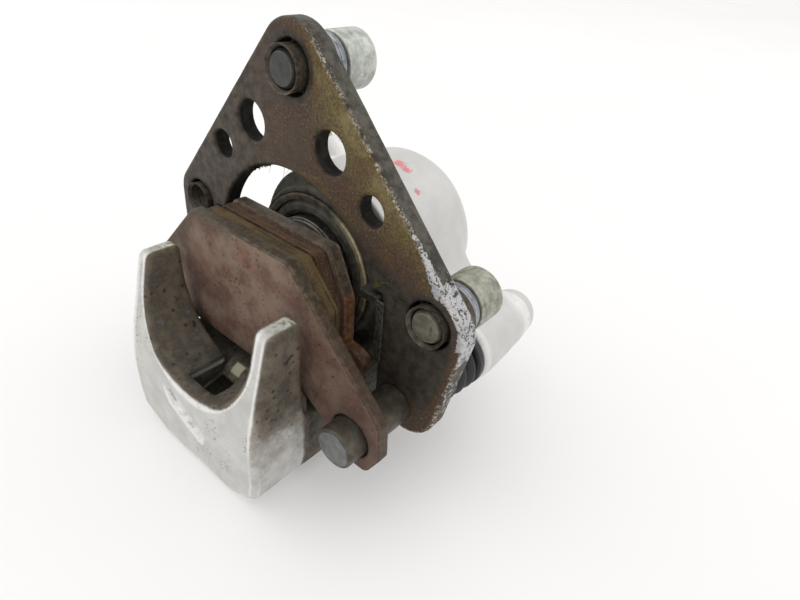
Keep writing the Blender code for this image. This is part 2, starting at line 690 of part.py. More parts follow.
def make_bleeder():
    lift = (BLEEDER_ANGLE, BLEEDER_Y)
    seat = BLEEDER_SEAT_R
    stem = (
        (0.0, 28.8 * MM),
        (1.2 * MM, 28.8 * MM),
        (3.0 * MM, 30.6 * MM),
        (3.0 * MM, seat + 1.0 * MM),
        (4.4 * MM, seat + 1.0 * MM),
        (4.4 * MM, seat + 6.5 * MM),
        (2.4 * MM, seat + 7.5 * MM),
        (2.4 * MM, seat + 9.0 * MM),
        (3.2 * MM, seat + 10.5 * MM),
        (2.0 * MM, seat + 14.0 * MM),
        (0.0, seat + 14.0 * MM),
    )
    screw = turned("bleeder_screw", stem, lift=lift, sides=24)
    nut = ((0.0, seat + 1.2 * MM), (4.62 * MM, seat + 1.2 * MM), (4.62 * MM, seat + 6.2 * MM), (0.0, seat + 6.2 * MM))
    join(screw, turned("bleeder_hex", nut, lift=lift, sides=6))
    keep(screw, BRASS)
    hood = (
        (0.0, seat + 16.8 * MM),
        (3.6 * MM, seat + 16.0 * MM),
        (4.4 * MM, seat + 14.5 * MM),
        (4.8 * MM, seat + 8.4 * MM),
        (5.6 * MM, seat + 8.0 * MM),
        (5.6 * MM, seat + 6.9 * MM),
        (4.9 * MM, seat + 6.9 * MM),
        (3.5 * MM, seat + 8.6 * MM),
        (3.5 * MM, seat + 14.4 * MM),
        (0.0, seat + 14.4 * MM),
    )
    keep(turned("bleeder_cap", hood, lift=lift, sides=24), RUBBER)


# ---------------------------------------------------------------- assembly

def carry(name, place, nodes):
    """Hang the pieces of one moving body on an empty that sits on its joint's axis."""
    holder = bpy.data.objects.new(name, None)
    holder.location = place
    holder.empty_display_size = 0.02
    parts.objects.link(holder)
    for node in nodes:
        piece = parts.objects[node]
        piece.location = piece.location - holder.location
        piece.parent = holder
    return holder


make_bracket()
make_bush("mount_bush_top", TOP_BOLT, BUSH_R, BUSH_FLANGE_R, TOP_BUSH_PROUD)
make_bush("mount_bush_right", RIGHT_BOLT, BUSH_R, BUSH_FLANGE_R, SIDE_BUSH_PROUD)
make_bush("mount_bush_left", LEFT_BUSH, LEFT_BUSH_R, LEFT_BUSH_R + GAP, SIDE_BUSH_PROUD)
make_bolt("mount_bolt_top", TOP_BOLT, 10.0, TOP_BUSH_PROUD)
make_bolt("mount_bolt_right", RIGHT_BOLT, 35.0, SIDE_BUSH_PROUD)
make_washers("top", TOP_BOLT)
make_washers("right", RIGHT_BOLT)
make_guide_pin("guide_pin_right", RIGHT_PIN)
make_guide_pin("guide_pin_left", LEFT_PIN)
make_pad_clip("pad_clip_right", 1.0)
make_pad_clip("pad_clip_left", -1.0)
make_pads()
make_casting()
make_boot("guide_boot_right", RIGHT_PIN)
make_boot("guide_boot_left", LEFT_PIN)
make_piston_group()
make_pad_spring()
make_bleeder()

AXIS_POINT = Vector((0.0, 0.0, AXIS_HEIGHT))
carry("caliper_axis", AXIS_POINT, (
    "caliper_body", "piston_seal", "dust_seal", "guide_boot_right", "guide_boot_left", "pad_spring",
))
carry("piston_axis", AXIS_POINT, ("piston",))
carry("outer_pad_axis", AXIS_POINT, ("outer_backing_plate", "outer_lining"))
carry("inner_pad_axis", AXIS_POINT, ("inner_backing_plate", "inner_lining", "inner_shim"))
carry("bleeder_axis", Vector((0.0, BLEEDER_Y, AXIS_HEIGHT)), ("bleeder_screw", "bleeder_cap"))
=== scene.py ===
"""Looks of the floating brake caliper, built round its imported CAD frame.

The visible surfaces are made here as distance fields turned into meshes, and as turned profiles, with
procedural materials. Lengths in the shape code are millimetres, with Z counted from the piston axis.
"""

import math
import random

import bmesh
import bpy
import numpy as np
from mathutils import Matrix, Vector


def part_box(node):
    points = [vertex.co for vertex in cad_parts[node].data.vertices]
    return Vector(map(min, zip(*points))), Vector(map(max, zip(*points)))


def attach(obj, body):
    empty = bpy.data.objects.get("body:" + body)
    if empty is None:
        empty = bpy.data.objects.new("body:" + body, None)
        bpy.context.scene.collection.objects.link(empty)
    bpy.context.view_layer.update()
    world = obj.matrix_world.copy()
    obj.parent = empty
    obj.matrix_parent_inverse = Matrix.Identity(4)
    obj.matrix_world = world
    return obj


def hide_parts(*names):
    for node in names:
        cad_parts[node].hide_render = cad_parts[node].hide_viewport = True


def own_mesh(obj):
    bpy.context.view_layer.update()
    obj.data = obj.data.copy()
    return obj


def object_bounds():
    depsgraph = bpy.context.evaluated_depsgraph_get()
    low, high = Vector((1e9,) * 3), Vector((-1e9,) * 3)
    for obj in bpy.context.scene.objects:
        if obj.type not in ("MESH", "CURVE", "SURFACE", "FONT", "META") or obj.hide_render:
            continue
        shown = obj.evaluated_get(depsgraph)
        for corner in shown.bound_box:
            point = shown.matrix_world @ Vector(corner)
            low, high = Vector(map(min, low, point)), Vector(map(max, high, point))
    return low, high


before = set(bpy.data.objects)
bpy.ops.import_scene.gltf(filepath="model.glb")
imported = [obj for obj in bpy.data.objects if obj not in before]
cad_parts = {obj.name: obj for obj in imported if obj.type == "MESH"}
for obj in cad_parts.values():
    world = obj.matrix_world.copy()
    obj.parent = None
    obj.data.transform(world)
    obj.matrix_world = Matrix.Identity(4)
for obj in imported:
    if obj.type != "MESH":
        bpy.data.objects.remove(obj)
cad_low, cad_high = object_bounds()

MM = 0.001
AXIS_HEIGHT = 53.0
SEED = 7


# ---------------------------------------------------------------- distance fields

def soft_min(a, b, k):
    """The lesser of two fields, with a fillet of about k where they meet."""
    blend = np.clip(0.5 + 0.5 * (b - a) / k, 0.0, 1.0)
    return b * (1.0 - blend) + a * blend - k * blend * (1.0 - blend)


def soft_max(a, b, k):
    return -soft_min(-a, -b, k)


def soft_cut(body, tool, k):
    """The body less the tool."""
    return soft_max(body, -tool, k)


def ramp(value, low, high):
    """0 at low, 1 at high, smooth between."""
    share = np.clip((value - low) / (high - low), 0.0, 1.0)
    return share * share * (3.0 - 2.0 * share)


def outline(u, v, points):
    """Signed distance to a closed outline, negative inside."""
    nearest = None
    inside = False
    for i, (ax, ay) in enumerate(points):
        bx, by = points[i - 1]
        ex, ey = bx - ax, by - ay
        wx, wy = u - ax, v - ay
        along = np.clip((wx * ex + wy * ey) / (ex * ex + ey * ey), 0.0, 1.0)
        gap = (wx - ex * along) ** 2 + (wy - ey * along) ** 2
        nearest = gap if nearest is None else np.minimum(nearest, gap)
        if ay != by:
            crossed = ((ay > v) != (by > v)) & (u < (bx - ax) * (v - ay) / (by - ay) + ax)
            inside = inside ^ crossed
    return np.where(inside, -1.0, 1.0) * np.sqrt(nearest)


def slab(flat, along, low, high, radius):
    """A flat outline's distance carried along an axis, with rounded edges."""
    across = flat + radius
    ends = np.abs(along - (low + high) / 2.0) - (high - low) / 2.0 + radius
    outside = np.sqrt(np.maximum(across, 0.0) ** 2 + np.maximum(ends, 0.0) ** 2)
    return np.minimum(np.maximum(across, ends), 0.0) + outside - radius


def turned_field(radial, along, stations, radii, k):
    """A turned body whose radius changes along its axis."""
    side = radial - np.interp(along, stations, radii)
    return soft_max(soft_max(side, stations[0] - along, k), along - stations[-1], k)


def capsule(u, v, start, start_radius, end, end_radius):
    """A flat band from one circle to another."""
    ex, ey = end[0] - start[0], end[1] - start[1]
    share = np.clip(((u - start[0]) * ex + (v - start[1]) * ey) / (ex * ex + ey * ey), 0.0, 1.0)
    radius = start_radius + (end_radius - start_radius) * share
    return np.hypot(u - start[0] - ex * share, v - start[1] - ey * share) - radius


def inset(points, reach):
    """A convex outline moved inwards."""
    area = sum(a[0] * b[1] - b[0] * a[1] for a, b in zip(points, points[1:] + points[:1]))
    turn = math.copysign(1.0, area)
    moved = []
    for i, here in enumerate(points):
        before, after = points[i - 1], points[(i + 1) % len(points)]
        first = Vector((before[1] - here[1], here[0] - before[0])).normalized() * turn
        second = Vector((here[1] - after[1], after[0] - here[0])).normalized() * turn
        shift = (first + second) * reach / (1.0 + first.dot(second))
        moved.append((here[0] + shift.x, here[1] + shift.y))
    return tuple(moved)


def hull_of_circles(circles, sides=60):
    """The outline of a band stretched round circles given as (centre, radius)."""
    spots = set()
    for (cx, cy), radius in circles:
        for i in range(sides):
            angle = 2.0 * math.pi * i / sides
            spots.add((cx + radius * math.cos(angle), cy + radius * math.sin(angle)))

    def chain(ordered):
        kept = []
        for p in ordered:
            while len(kept) > 1:
                a, b = kept[-2], kept[-1]
                if (b[0] - a[0]) * (p[1] - a[1]) - (b[1] - a[1]) * (p[0] - a[0]) > 1e-9:
                    break
                kept.pop()
            kept.append(p)
        return kept[:-1]

    ordered = sorted(spots)
    return chain(ordered) + chain(ordered[::-1])


def wobble(x, y, z, size):
    """A smooth, repeatable unevenness between about -1 and 1."""
    a, b, c = x / size, y / size, z / size
    first = np.sin(a * 1.7 + b * 0.9 + 0.3) * np.sin(b * 1.3 - c * 1.1 + 1.7)
    second = np.sin(c * 2.1 + a * 0.7 + 2.9) * np.sin(a * 0.8 - b * 2.3 + 0.4)
    return 0.6 * first + 0.4 * second


# ---------------------------------------------------------------- meshes

def net(field, low, high, step):
    """Points and quads of a field's zero surface, evened out and put exactly on the surface."""
    axes = [np.arange(a, b + step, step) for a, b in zip(low, high)]
    values = field(axes[0][:, None, None], axes[1][None, :, None], axes[2][None, None, :])
    inside = np.broadcast_to(values, tuple(len(a) for a in axes)) < 0.0
    corners = np.zeros(tuple(len(a) - 1 for a in axes), np.int8)
    for i in (0, 1):
        for j in (0, 1):
            for k in (0, 1):
                corners += inside[i:i + corners.shape[0], j:j + corners.shape[1], k:k + corners.shape[2]]
    active = (corners > 0) & (corners < 8)
    index = np.full(corners.shape, -1, np.int64)
    index[active] = np.arange(active.sum())
    points = (np.argwhere(active) + 0.5) * step + np.array([a[0] for a in axes])
    quads = []
    for axis in range(3):
        b, c = (axis + 1) % 3, (axis + 2) % 3
        near = inside.take(range(inside.shape[axis] - 1), axis=axis)
        far = inside.take(range(1, inside.shape[axis]), axis=axis)
        spots = np.argwhere(near != far)
        solid_near = near[tuple(spots.T)]
        one_b, one_c = np.eye(3, dtype=int)[b], np.eye(3, dtype=int)[c]
        ring = [index[tuple((spots - shift).T)] for shift in (0 * one_b, one_b, one_b + one_c, one_c)]
        faces = np.stack(ring, axis=1)
        faces[~solid_near] = faces[~solid_near][:, ::-1]
        quads.append(faces)
    quads = np.concatenate(quads)
    points = settle(field, points, 3)
    for _ in range(3):
        points = settle(field, relaxed(points, quads), 1)
    return points, quads


def gradient(field, points, reach=0.04):
    """The field's slope at each point."""
    slopes = []
    for axis in range(3):
        shift = np.zeros(3)
        shift[axis] = reach
        ahead, behind = points + shift, points - shift
        slopes.append((field(*ahead.T) - field(*behind.T)) / (2.0 * reach))
    return np.stack(slopes, axis=1)


def settle(field, points, times):
    """Points moved on to the field's zero surface."""
    for _ in range(times):
        slope = gradient(field, points)
        size = np.maximum((slope ** 2).sum(axis=1), 0.05)
        move = field(*points.T) / size
        points = points - np.clip(move, -0.5, 0.5)[:, None] * slope
    return points


def relaxed(points, quads):
    """Each point moved to the middle of its neighbours."""
    total = np.zeros_like(points)
    count = np.zeros(len(points))
    for i in range(4):
        for other in (quads[:, (i + 1) % 4], quads[:, i - 1]):
            for axis in range(3):
                total[:, axis] += np.bincount(quads[:, i], points[other, axis], len(points))
            count += np.bincount(quads[:, i], minlength=len(points))
    return total / count[:, None]


def marks(mesh, **values):
    """Puts named numbers on a mesh's points, for its material to read."""
    for name, numbers in values.items():
        attribute = mesh.attributes.new(name, "FLOAT", "POINT")
        attribute.data.foreach_set("value", np.asarray(numbers, np.float32))


def shown(name, mesh, material, body, nodes=(), sharp=40.0):
    """A finished piece on its CAD body."""
    mesh.materials.append(material)
    mesh.shade_smooth()
    if sharp is not None:
        mesh.set_sharp_from_angle(angle=math.radians(sharp))
    piece = bpy.data.objects.new(name, mesh)
    bpy.context.scene.collection.objects.link(piece)
    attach(piece, body)
    if nodes:
        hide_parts(*nodes)
    return piece


def field_piece(name, field, low, high, step, material, body, nodes, reach=2.4, extra=None):
    """A piece from its field, with how worn and how grimy each point is."""
    points, quads = net(field, low, high, step)
    slope = gradient(field, points)
    normal = slope / np.maximum(np.linalg.norm(slope, axis=1), 1e-6)[:, None]
    worn = 1.0 + field(*(points - normal * reach).T) / reach
    hollow = 1.0 - field(*(points + normal * reach).T) / reach
    mesh = bpy.data.meshes.new(name)
    placed = (points + np.array((0.0, 0.0, AXIS_HEIGHT))) * MM
    mesh.from_pydata(placed.tolist(), [], quads.tolist())
    marks(mesh, worn=np.clip(worn * 2.5, 0.0, 1.0), hollow=np.clip(hollow * 1.6, 0.0, 1.0))
    if extra is not None:
        marks(mesh, **extra(*points.T))
    return shown(name, mesh, material, body, nodes, None)


def rounded(corners, steps=4):
    """An outline with each corner (u, v, radius) rounded: (u, v, worn) points."""
    points = []
    count = len(corners)
    for i, (u, v, radius) in enumerate(corners):
        here = Vector((u, v))
        if radius == 0.0:
            points.append((u, v, 0.0))
            continue
        before = Vector(corners[i - 1][:2]) - here
        after = Vector(corners[(i + 1) % count][:2]) - here
        half = before.angle(after) / 2.0
        reach = radius / math.tan(half)
        first = here + before.normalized() * reach
        last = here + after.normalized() * reach
        centre = here + (before.normalized() + after.normalized()).normalized() * radius / math.sin(half)
        for k in range(steps + 1):
            spot = ((first - centre).lerp(last - centre, k / steps)).normalized() * radius
            worn = 1.0 if 0 < k < steps else 0.35
            points.append((centre.x + spot.x, centre.y + spot.y, worn))
    return points


def hexagon(width, angle):
    """The radius of a hexagon of that width across its flats, at an angle."""
    turn = (angle + math.pi / 6.0) % (math.pi / 3.0) - math.pi / 6.0
    return width / 2.0 / math.cos(turn)


def lathe(name, profile, place, material, body, nodes=(), sides=96, frame_of=None, flats=(),
          gap=0.0, rise=0.0):
    """A turned piece. profile is (radius, along, worn) points; flats are the indices whose ring is a hexagon.

    A gap in degrees leaves the ring open, like a spring washer, and rise lifts its two ends apart.
    """
    verts, worn, faces, rings = [], [], [], []
    sweep = math.radians(360.0 - gap)
    spokes = sides + 1 if gap else sides
    for number, (radius, along, wear) in enumerate(profile):
        if radius == 0.0 and not gap:
            rings.append([len(verts)])
            verts.append((0.0, along, 0.0))
            worn.append(wear)
            continue
        ring = []
        for i in range(spokes):
            angle = math.radians(gap) / 2.0 + sweep * i / sides - math.pi / 2.0
            reach = hexagon(radius * 2.0, angle) if number in flats else radius
            lift = rise * (i / sides - 0.5)
            ring.append(len(verts))
            verts.append((reach * math.cos(angle), along + lift, reach * math.sin(angle)))
            worn.append(wear)
        rings.append(ring)
    closed = profile[0][0] > 0.0
    pairs = list(zip(rings, rings[1:]))
    if closed:
        pairs.append((rings[-1], rings[0]))
    for first, second in pairs:
        steps = spokes - 1 if gap else spokes
        for i in range(steps):
            k = (i + 1) % spokes
            loop = (first[i % len(first)], first[k % len(first)],
                    second[k % len(second)], second[i % len(second)])
            faces.append(tuple(dict.fromkeys(loop)))
    if gap:
        faces.append(tuple(ring[0] for ring in rings))
        faces.append(tuple(ring[-1] for ring in rings))
    mesh = bpy.data.meshes.new(name)
    if frame_of is None:
        base = Vector((place[0], 0.0, place[1] + AXIS_HEIGHT))
        spots = [(Vector(v) + base) * MM for v in verts]
    else:
        spots = [frame_of(Vector(v)) * MM for v in verts]
    mesh.from_pydata(spots, [], faces)
    marks(mesh, worn=worn, hollow=[0.0] * len(worn))
    work = bmesh.new()
    work.from_mesh(mesh)
    bmesh.ops.recalc_face_normals(work, faces=work.faces)
    work.to_mesh(mesh)
    work.free()
    return shown(name, mesh, material, body, nodes)


# ---------------------------------------------------------------- materials

class Look:
    """A node material built up in a few calls. Places are in millimetres."""

    def __init__(self, name):
        self.material = bpy.data.materials.new(name)
        self.material.use_nodes = True
        self.nodes = self.material.node_tree.nodes
        self.links = self.material.node_tree.links
        self.shader = self.nodes["Principled BSDF"]
        spot = self.new("ShaderNodeTexCoord").outputs["Object"]
        grown = self.new("ShaderNodeVectorMath", operation="SCALE")
        self.links.new(spot, grown.inputs[0])
        grown.inputs["Scale"].default_value = 1.0 / MM
        self.place = grown.outputs[0]
        self.axes = self.new("ShaderNodeSeparateXYZ", Vector=self.place).outputs
        self.colour = None

    def new(self, kind, **given):
        """A node. Names in small letters are its settings, the others its inputs."""
        node = self.nodes.new(kind)
        for key, value in given.items():
            if key.islower():
                setattr(node, key, value)
                continue
            self.fill(node.inputs[key], value)
        return node

    def fill(self, socket, value):
        if isinstance(value, bpy.types.NodeSocket):
            self.links.new(value, socket)
        elif socket.type == "RGBA" and len(value) == 3:
            socket.default_value = (*value, 1.0)
        else:
            socket.default_value = value

    def mark(self, name):
        """A number that the mesh's points carry."""
        return self.new("ShaderNodeAttribute", attribute_name=name).outputs["Fac"]

    def noise(self, per_mm, detail=3.0, rough=0.55, place=None, distort=0.0):
        node = self.new("ShaderNodeTexNoise", Vector=place or self.place, Scale=per_mm, Detail=detail,
                        Roughness=rough, Distortion=distort)
        return node.outputs["Fac"]

    def cells(self, per_mm):
        """The distance to the nearest of scattered points."""
        return self.new("ShaderNodeTexVoronoi", Vector=self.place, Scale=per_mm).outputs["Distance"]

    def stretched(self, x, y, z):
        node = self.new("ShaderNodeVectorMath", operation="MULTIPLY")
        self.links.new(self.place, node.inputs[0])
        node.inputs[1].default_value = (x, y, z)
        return node.outputs[0]

    def math(self, operation, a, b=0.0, clamp=False):
        node = self.new("ShaderNodeMath", operation=operation, use_clamp=clamp)
        self.fill(node.inputs[0], a)
        self.fill(node.inputs[1], b)
        return node.outputs[0]

    def add(self, a, b):
        return self.math("ADD", a, b)

    def less(self, a, b):
        return self.math("SUBTRACT", a, b)

    def times(self, *values):
        result = values[0]
        for value in values[1:]:
            result = self.math("MULTIPLY", result, value)
        return result

    def plus(self, a, b):
        """A sum that stops at 1."""
        return self.math("ADD", a, b, True)

    def step(self, value, low, high):
        """0 at low, 1 at high, smooth between."""
        node = self.new("ShaderNodeMapRange", interpolation_type="SMOOTHSTEP")
        self.fill(node.inputs["Value"], value)
        node.inputs["From Min"].default_value = low
        node.inputs["From Max"].default_value = high
        return node.outputs["Result"]

    def patches(self, low, high, per_mm, *given, **named):
        """Cloudy patches: a noise with its tones between low and high spread from 0 to 1."""
        return self.step(self.noise(per_mm, *given, **named), low, high)

    def ragged(self, value, noise, reach):
        """A value pushed up and down by a noise, which breaks its edge."""
        return self.add(value, self.times(self.less(noise, 0.5), reach))

    def near(self, centre, inner, outer):
        """1 within inner millimetres of a point, 0 beyond outer."""
        node = self.new("ShaderNodeVectorMath", operation="DISTANCE")
        self.links.new(self.place, node.inputs[0])
        node.inputs[1].default_value = centre
        return self.step(node.outputs["Value"], outer, inner)

    def mix(self, share, a, b):
        """The colour a where share is 0 and b where it is 1."""
        node = self.new("ShaderNodeMix", data_type="RGBA")
        self.fill(node.inputs["Factor"], share)
        self.fill(node.inputs[6], a)
        self.fill(node.inputs[7], b)
        return node.outputs[2]

    def tones(self, value, low, high, dark, light):
        """Dark where a value is low and light where it is high."""
        return self.mix(self.step(value, low, high), dark, light)

    def over(self, colour, tint, *shares):
        """A tint laid over a colour, as strongly as its shares multiplied."""
        return self.mix(self.times(*shares), colour, tint)

    def coat(self, tint, *shares):
        """A tint laid over the look's own colour."""
        self.colour = self.over(self.colour, tint, *shares)

    def blend(self, share, a, b):
        """The number a where share is 0 and b where it is 1."""
        node = self.new("ShaderNodeMix", data_type="FLOAT")
        self.fill(node.inputs[0], share)
        self.fill(node.inputs[2], a)
        self.fill(node.inputs[3], b)
        return node.outputs[0]

    def bump(self, height, depth):
        """Depth is in millimetres for a height of 0 to 1."""
        return self.new("ShaderNodeBump", Height=height, Distance=depth * MM).outputs["Normal"]

    def done(self, roughness, metallic, normal, gloss=0.5):
        self.fill(self.shader.inputs["Base Color"], self.colour)
        self.fill(self.shader.inputs["Specular IOR Level"], gloss)
        self.fill(self.shader.inputs["Roughness"], roughness)
        self.fill(self.shader.inputs["Metallic"], metallic)
        self.links.new(normal, self.shader.inputs["Normal"])
        return self.material


def cast_look():
    """Pale aluminium with brown dirt and painted shade, darker painted shade and grime, blots, pits and moss
    where marked, rubbed edges and red paint.
    """
    look = Look("cast_aluminium_look")
    clouds = look.noise(0.22, 6.0, 0.66)
    dirt, inner, paint_here = look.mark("dirt"), look.mark("inner"), look.mark("paint")
    rearward = look.axes["Y"]

    patch = look.noise(0.16, 4.0, 0.6)
    look.colour = look.tones(patch, 0.3, 0.7, (0.50, 0.49, 0.468), (0.60, 0.595, 0.572))
    look.coat((0.42, 0.405, 0.375), look.step(clouds, 0.52, 0.74), 0.18)
    look.coat((0.66, 0.655, 0.635), look.step(rearward, 2.0, 30.0), 0.6)
    # Brown laid on by the dirt mark: dirt, and painted shade on the claw's right side and behind its rear
    # face.
    dirt_and_shade_tone = look.tones(clouds, 0.34, 0.64, (0.110, 0.090, 0.065), (0.29, 0.26, 0.215))
    brown = look.tones(clouds, 0.36, 0.66, (0.040, 0.028, 0.017), (0.122, 0.094, 0.061))
    dirt_and_shade = look.times(look.step(look.ragged(dirt, clouds, 1.5), 0.10, 0.85), look.step(dirt, 0.0, 0.25))
    caught = look.times(look.step(look.mark("hollow"), 0.3, 0.95), look.step(clouds, 0.35, 0.65), 0.4)
    dirt_and_shade = look.plus(dirt_and_shade, look.times(caught, look.step(rearward, 30.0, 5.0)))
    look.coat(look.mix(inner, dirt_and_shade_tone, brown), dirt_and_shade, 0.93)
    # Near-black painted shade under the pads, in the bridge window and low in the notch, and grime on the
    # barrel's front.
    soot = look.tones(clouds, 0.35, 0.65, (0.042, 0.040, 0.031), (0.105, 0.100, 0.078))
    look.coat(soot, look.step(look.mark("soot"), 0.1, 0.6), 0.96)

    blots = look.patches(0.665, 0.69, 0.13, 3.0, 0.5, distort=0.1)
    look.coat((0.032, 0.020, 0.015), blots, inner, 0.9)
    specks = look.times(look.step(look.cells(0.40), 0.27, 0.19), look.patches(0.5, 0.58, 0.11, 1.0))
    look.coat((0.035, 0.024, 0.018), specks, inner, 0.8)
    scattered = look.times(look.patches(0.57, 0.63, 0.09, 1.0), look.step(rearward, -20.0, -24.0))
    pits = look.times(look.step(look.cells(0.75), 0.24, 0.15), look.plus(scattered, look.mark("pitted")))
    look.coat((0.10, 0.085, 0.06), pits, 0.8)
    moss = look.times(look.mark("moss"), look.patches(0.48, 0.62, 0.9, 3.0))
    look.coat((0.16, 0.15, 0.055), moss, 0.85)
    bright = look.times(look.step(look.mark("worn"), 0.45, 0.95), look.patches(0.2, 0.5, 0.5, 3.0))
    bright = look.times(bright, look.step(dirt, 0.45, 0.08))
    look.coat((0.84, 0.835, 0.82), bright, 0.8)
    paint = look.step(look.ragged(paint_here, look.noise(1.1, 4.0), 1.1), 0.42, 0.72)
    paint = look.times(paint, look.step(paint_here, 0.02, 0.2))
    look.coat((0.72, 0.16, 0.19), paint, 0.85)

    rough = look.blend(bright, look.blend(dirt_and_shade, 0.46, 0.72), 0.34)
    metal = look.blend(look.plus(dirt_and_shade, paint), 0.38, 0.05)
    grain = look.times(look.noise(2.6, 4.0, 0.62), 0.6)
    height = look.add(grain, look.times(look.noise(0.9, 3.0), 0.5))
    height = look.less(height, look.times(pits, 0.9))
    return look.done(rough, metal, look.bump(height, 0.14), look.blend(dirt_and_shade, 0.5, 0.22))


def bracket_look():
    """Old steel: grey on the left, brown and golden on the right, greasy low down, bare at the edge, with
    painted shade in its holes and a painted highlight along its right front edge.
    """
    look = Look("bracket_steel_look")
    speck = look.noise(1.35, 8.0, 0.78)
    fine = look.noise(4.5, 3.0, 0.65)
    cloud = look.noise(0.08, 4.0, 0.6)
    mottle = look.noise(0.30, 5.0, 0.66)
    walls, chips = look.mark("walls"), look.mark("chips")

    grey = look.tones(mottle, 0.35, 0.65, (0.040, 0.031, 0.024), (0.090, 0.074, 0.058))
    grey = look.over(grey, (0.15, 0.12, 0.085), look.step(speck, 0.56, 0.68), 0.5)
    brown = look.tones(speck, 0.36, 0.64, (0.038, 0.024, 0.016), (0.094, 0.062, 0.042))
    right = look.step(look.ragged(look.axes["X"], cloud, 60.0), -22.0, 8.0)
    look.colour = look.mix(right, grey, brown)
    gold = look.tones(speck, 0.34, 0.66, (0.048, 0.035, 0.013), (0.168, 0.128, 0.048))
    gold = look.over(gold, (0.40, 0.33, 0.18), look.step(fine, 0.60, 0.70), 0.8)
    golden = look.ragged(look.ragged(look.mark("gold"), mottle, 1.5), cloud, 1.0)
    look.coat(gold, look.step(golden, 0.12, 0.85), 0.92)
    look.coat((0.30, 0.245, 0.12), look.step(golden, 0.75, 1.25), 0.4)
    rust = look.tones(speck, 0.38, 0.62, (0.050, 0.026, 0.012), (0.135, 0.076, 0.036))
    rusted = look.patches(0.46, 0.62, 0.07, 5.0, 0.65, distort=0.4)
    look.coat(rust, rusted, right, 0.6)
    crumbs = look.times(look.patches(0.63, 0.69, 1.3, 3.0), look.step(cloud, 0.36, 0.56), right)
    look.coat((0.34, 0.265, 0.15), crumbs, 0.75)
    grease = look.step(look.ragged(look.mark("grease"), mottle, 0.9), 0.25, 0.75)
    dark = look.tones(mottle, 0.38, 0.64, (0.026, 0.023, 0.018), (0.058, 0.050, 0.040))
    look.coat(dark, grease, 0.92)

    edge = look.tones(mottle, 0.35, 0.65, (0.034, 0.032, 0.028), (0.098, 0.092, 0.080))
    edge = look.over(edge, (0.19, 0.175, 0.145), look.step(speck, 0.56, 0.66), 0.7)
    look.coat(edge, look.step(look.mark("side"), 0.3, 0.8), 0.9)
    # Near-black painted shade on the rear part of the hole and arch walls.
    black = look.tones(mottle, 0.4, 0.7, (0.007, 0.006, 0.005), (0.028, 0.024, 0.019))
    look.coat(black, walls, 0.97)
    bare = look.step(look.ragged(chips, look.noise(0.62, 5.0, 0.7), 1.9), 0.62, 0.76)
    bare = look.times(bare, look.step(chips, 0.02, 0.15))
    silver = look.tones(fine, 0.35, 0.65, (0.36, 0.36, 0.37), (0.62, 0.62, 0.64))
    look.coat(silver, bare)
    crust = look.times(look.patches(0.54, 0.59, 0.8, 4.0, 0.65), look.step(chips, 0.1, 0.5))
    look.coat((0.045, 0.038, 0.030), crust, 0.9)
    # A painted highlight: light glints along the right front edge.
    glint = look.times(look.mark("line"), look.step(speck, 0.48, 0.60), look.step(mottle, 0.36, 0.54))
    look.coat((0.60, 0.56, 0.46), glint, 0.85)
    look.coat((0.085, 0.088, 0.035), look.mark("rim"), look.step(mottle, 0.45, 0.62), 0.5)

    bright = look.plus(bare, look.times(glint, 0.6))
    rough = look.blend(look.times(grease, 0.8), look.blend(bright, 0.55, 0.36), 0.48)
    rough = look.blend(walls, rough, 0.95)
    metal = look.times(look.blend(bright, 0.12, 0.7), look.less(1.0, walls))
    height = look.add(look.times(speck, 0.7), look.times(fine, 0.3))
    height = look.less(height, look.times(bare, 0.35))
    return look.done(rough, metal, look.bump(height, 0.13), look.blend(bright, 0.22, 0.5))


def metal_look(name, dark, light, roughness, metallic, grime=(0.03, 0.027, 0.022), grime_share=0.4,
               edge=None, scratch=None, bump=0.06, bare=None):
    """Steel with uneven tone, fine scratches and grime in patches.

    edge colours the worn edges, and bare the patch that the mesh marks bare.
    """
    look = Look(name)
    fine = look.noise(2.4, 3.0, 0.6)
    look.colour = look.tones(look.noise(0.35, 4.0, 0.6), 0.32, 0.68, dark, light)
    look.coat(light, look.step(fine, 0.5, 0.75), 0.35)
    soil = look.times(look.step(look.noise(0.24, 4.0, 0.65), 0.62 - grime_share * 0.3, 0.72), 0.8)
    soil = look.plus(soil, look.times(look.mark("hollow"), 0.85))
    look.coat(grime, soil)
    if edge is not None:
        patches = look.patches(0.38, 0.58, 0.8, 3.0)
        look.coat(edge, look.step(look.mark("worn"), 0.3, 0.9), patches, 0.8)
    if bare is not None:
        look.coat(bare, look.mark("bare"))
    height = look.times(fine, 0.6)
    if scratch is not None:
        lines = look.noise(1.0, 2.0, 0.5, place=look.stretched(*scratch))
        height = look.add(height, lines)
        look.coat(dark, look.step(lines, 0.55, 0.75), 0.3)
    rough = look.blend(soil, roughness, min(roughness + 0.25, 0.9))
    metal = look.blend(soil, metallic, metallic * 0.4)
    return look.done(rough, metal, look.bump(height, bump), 0.3)


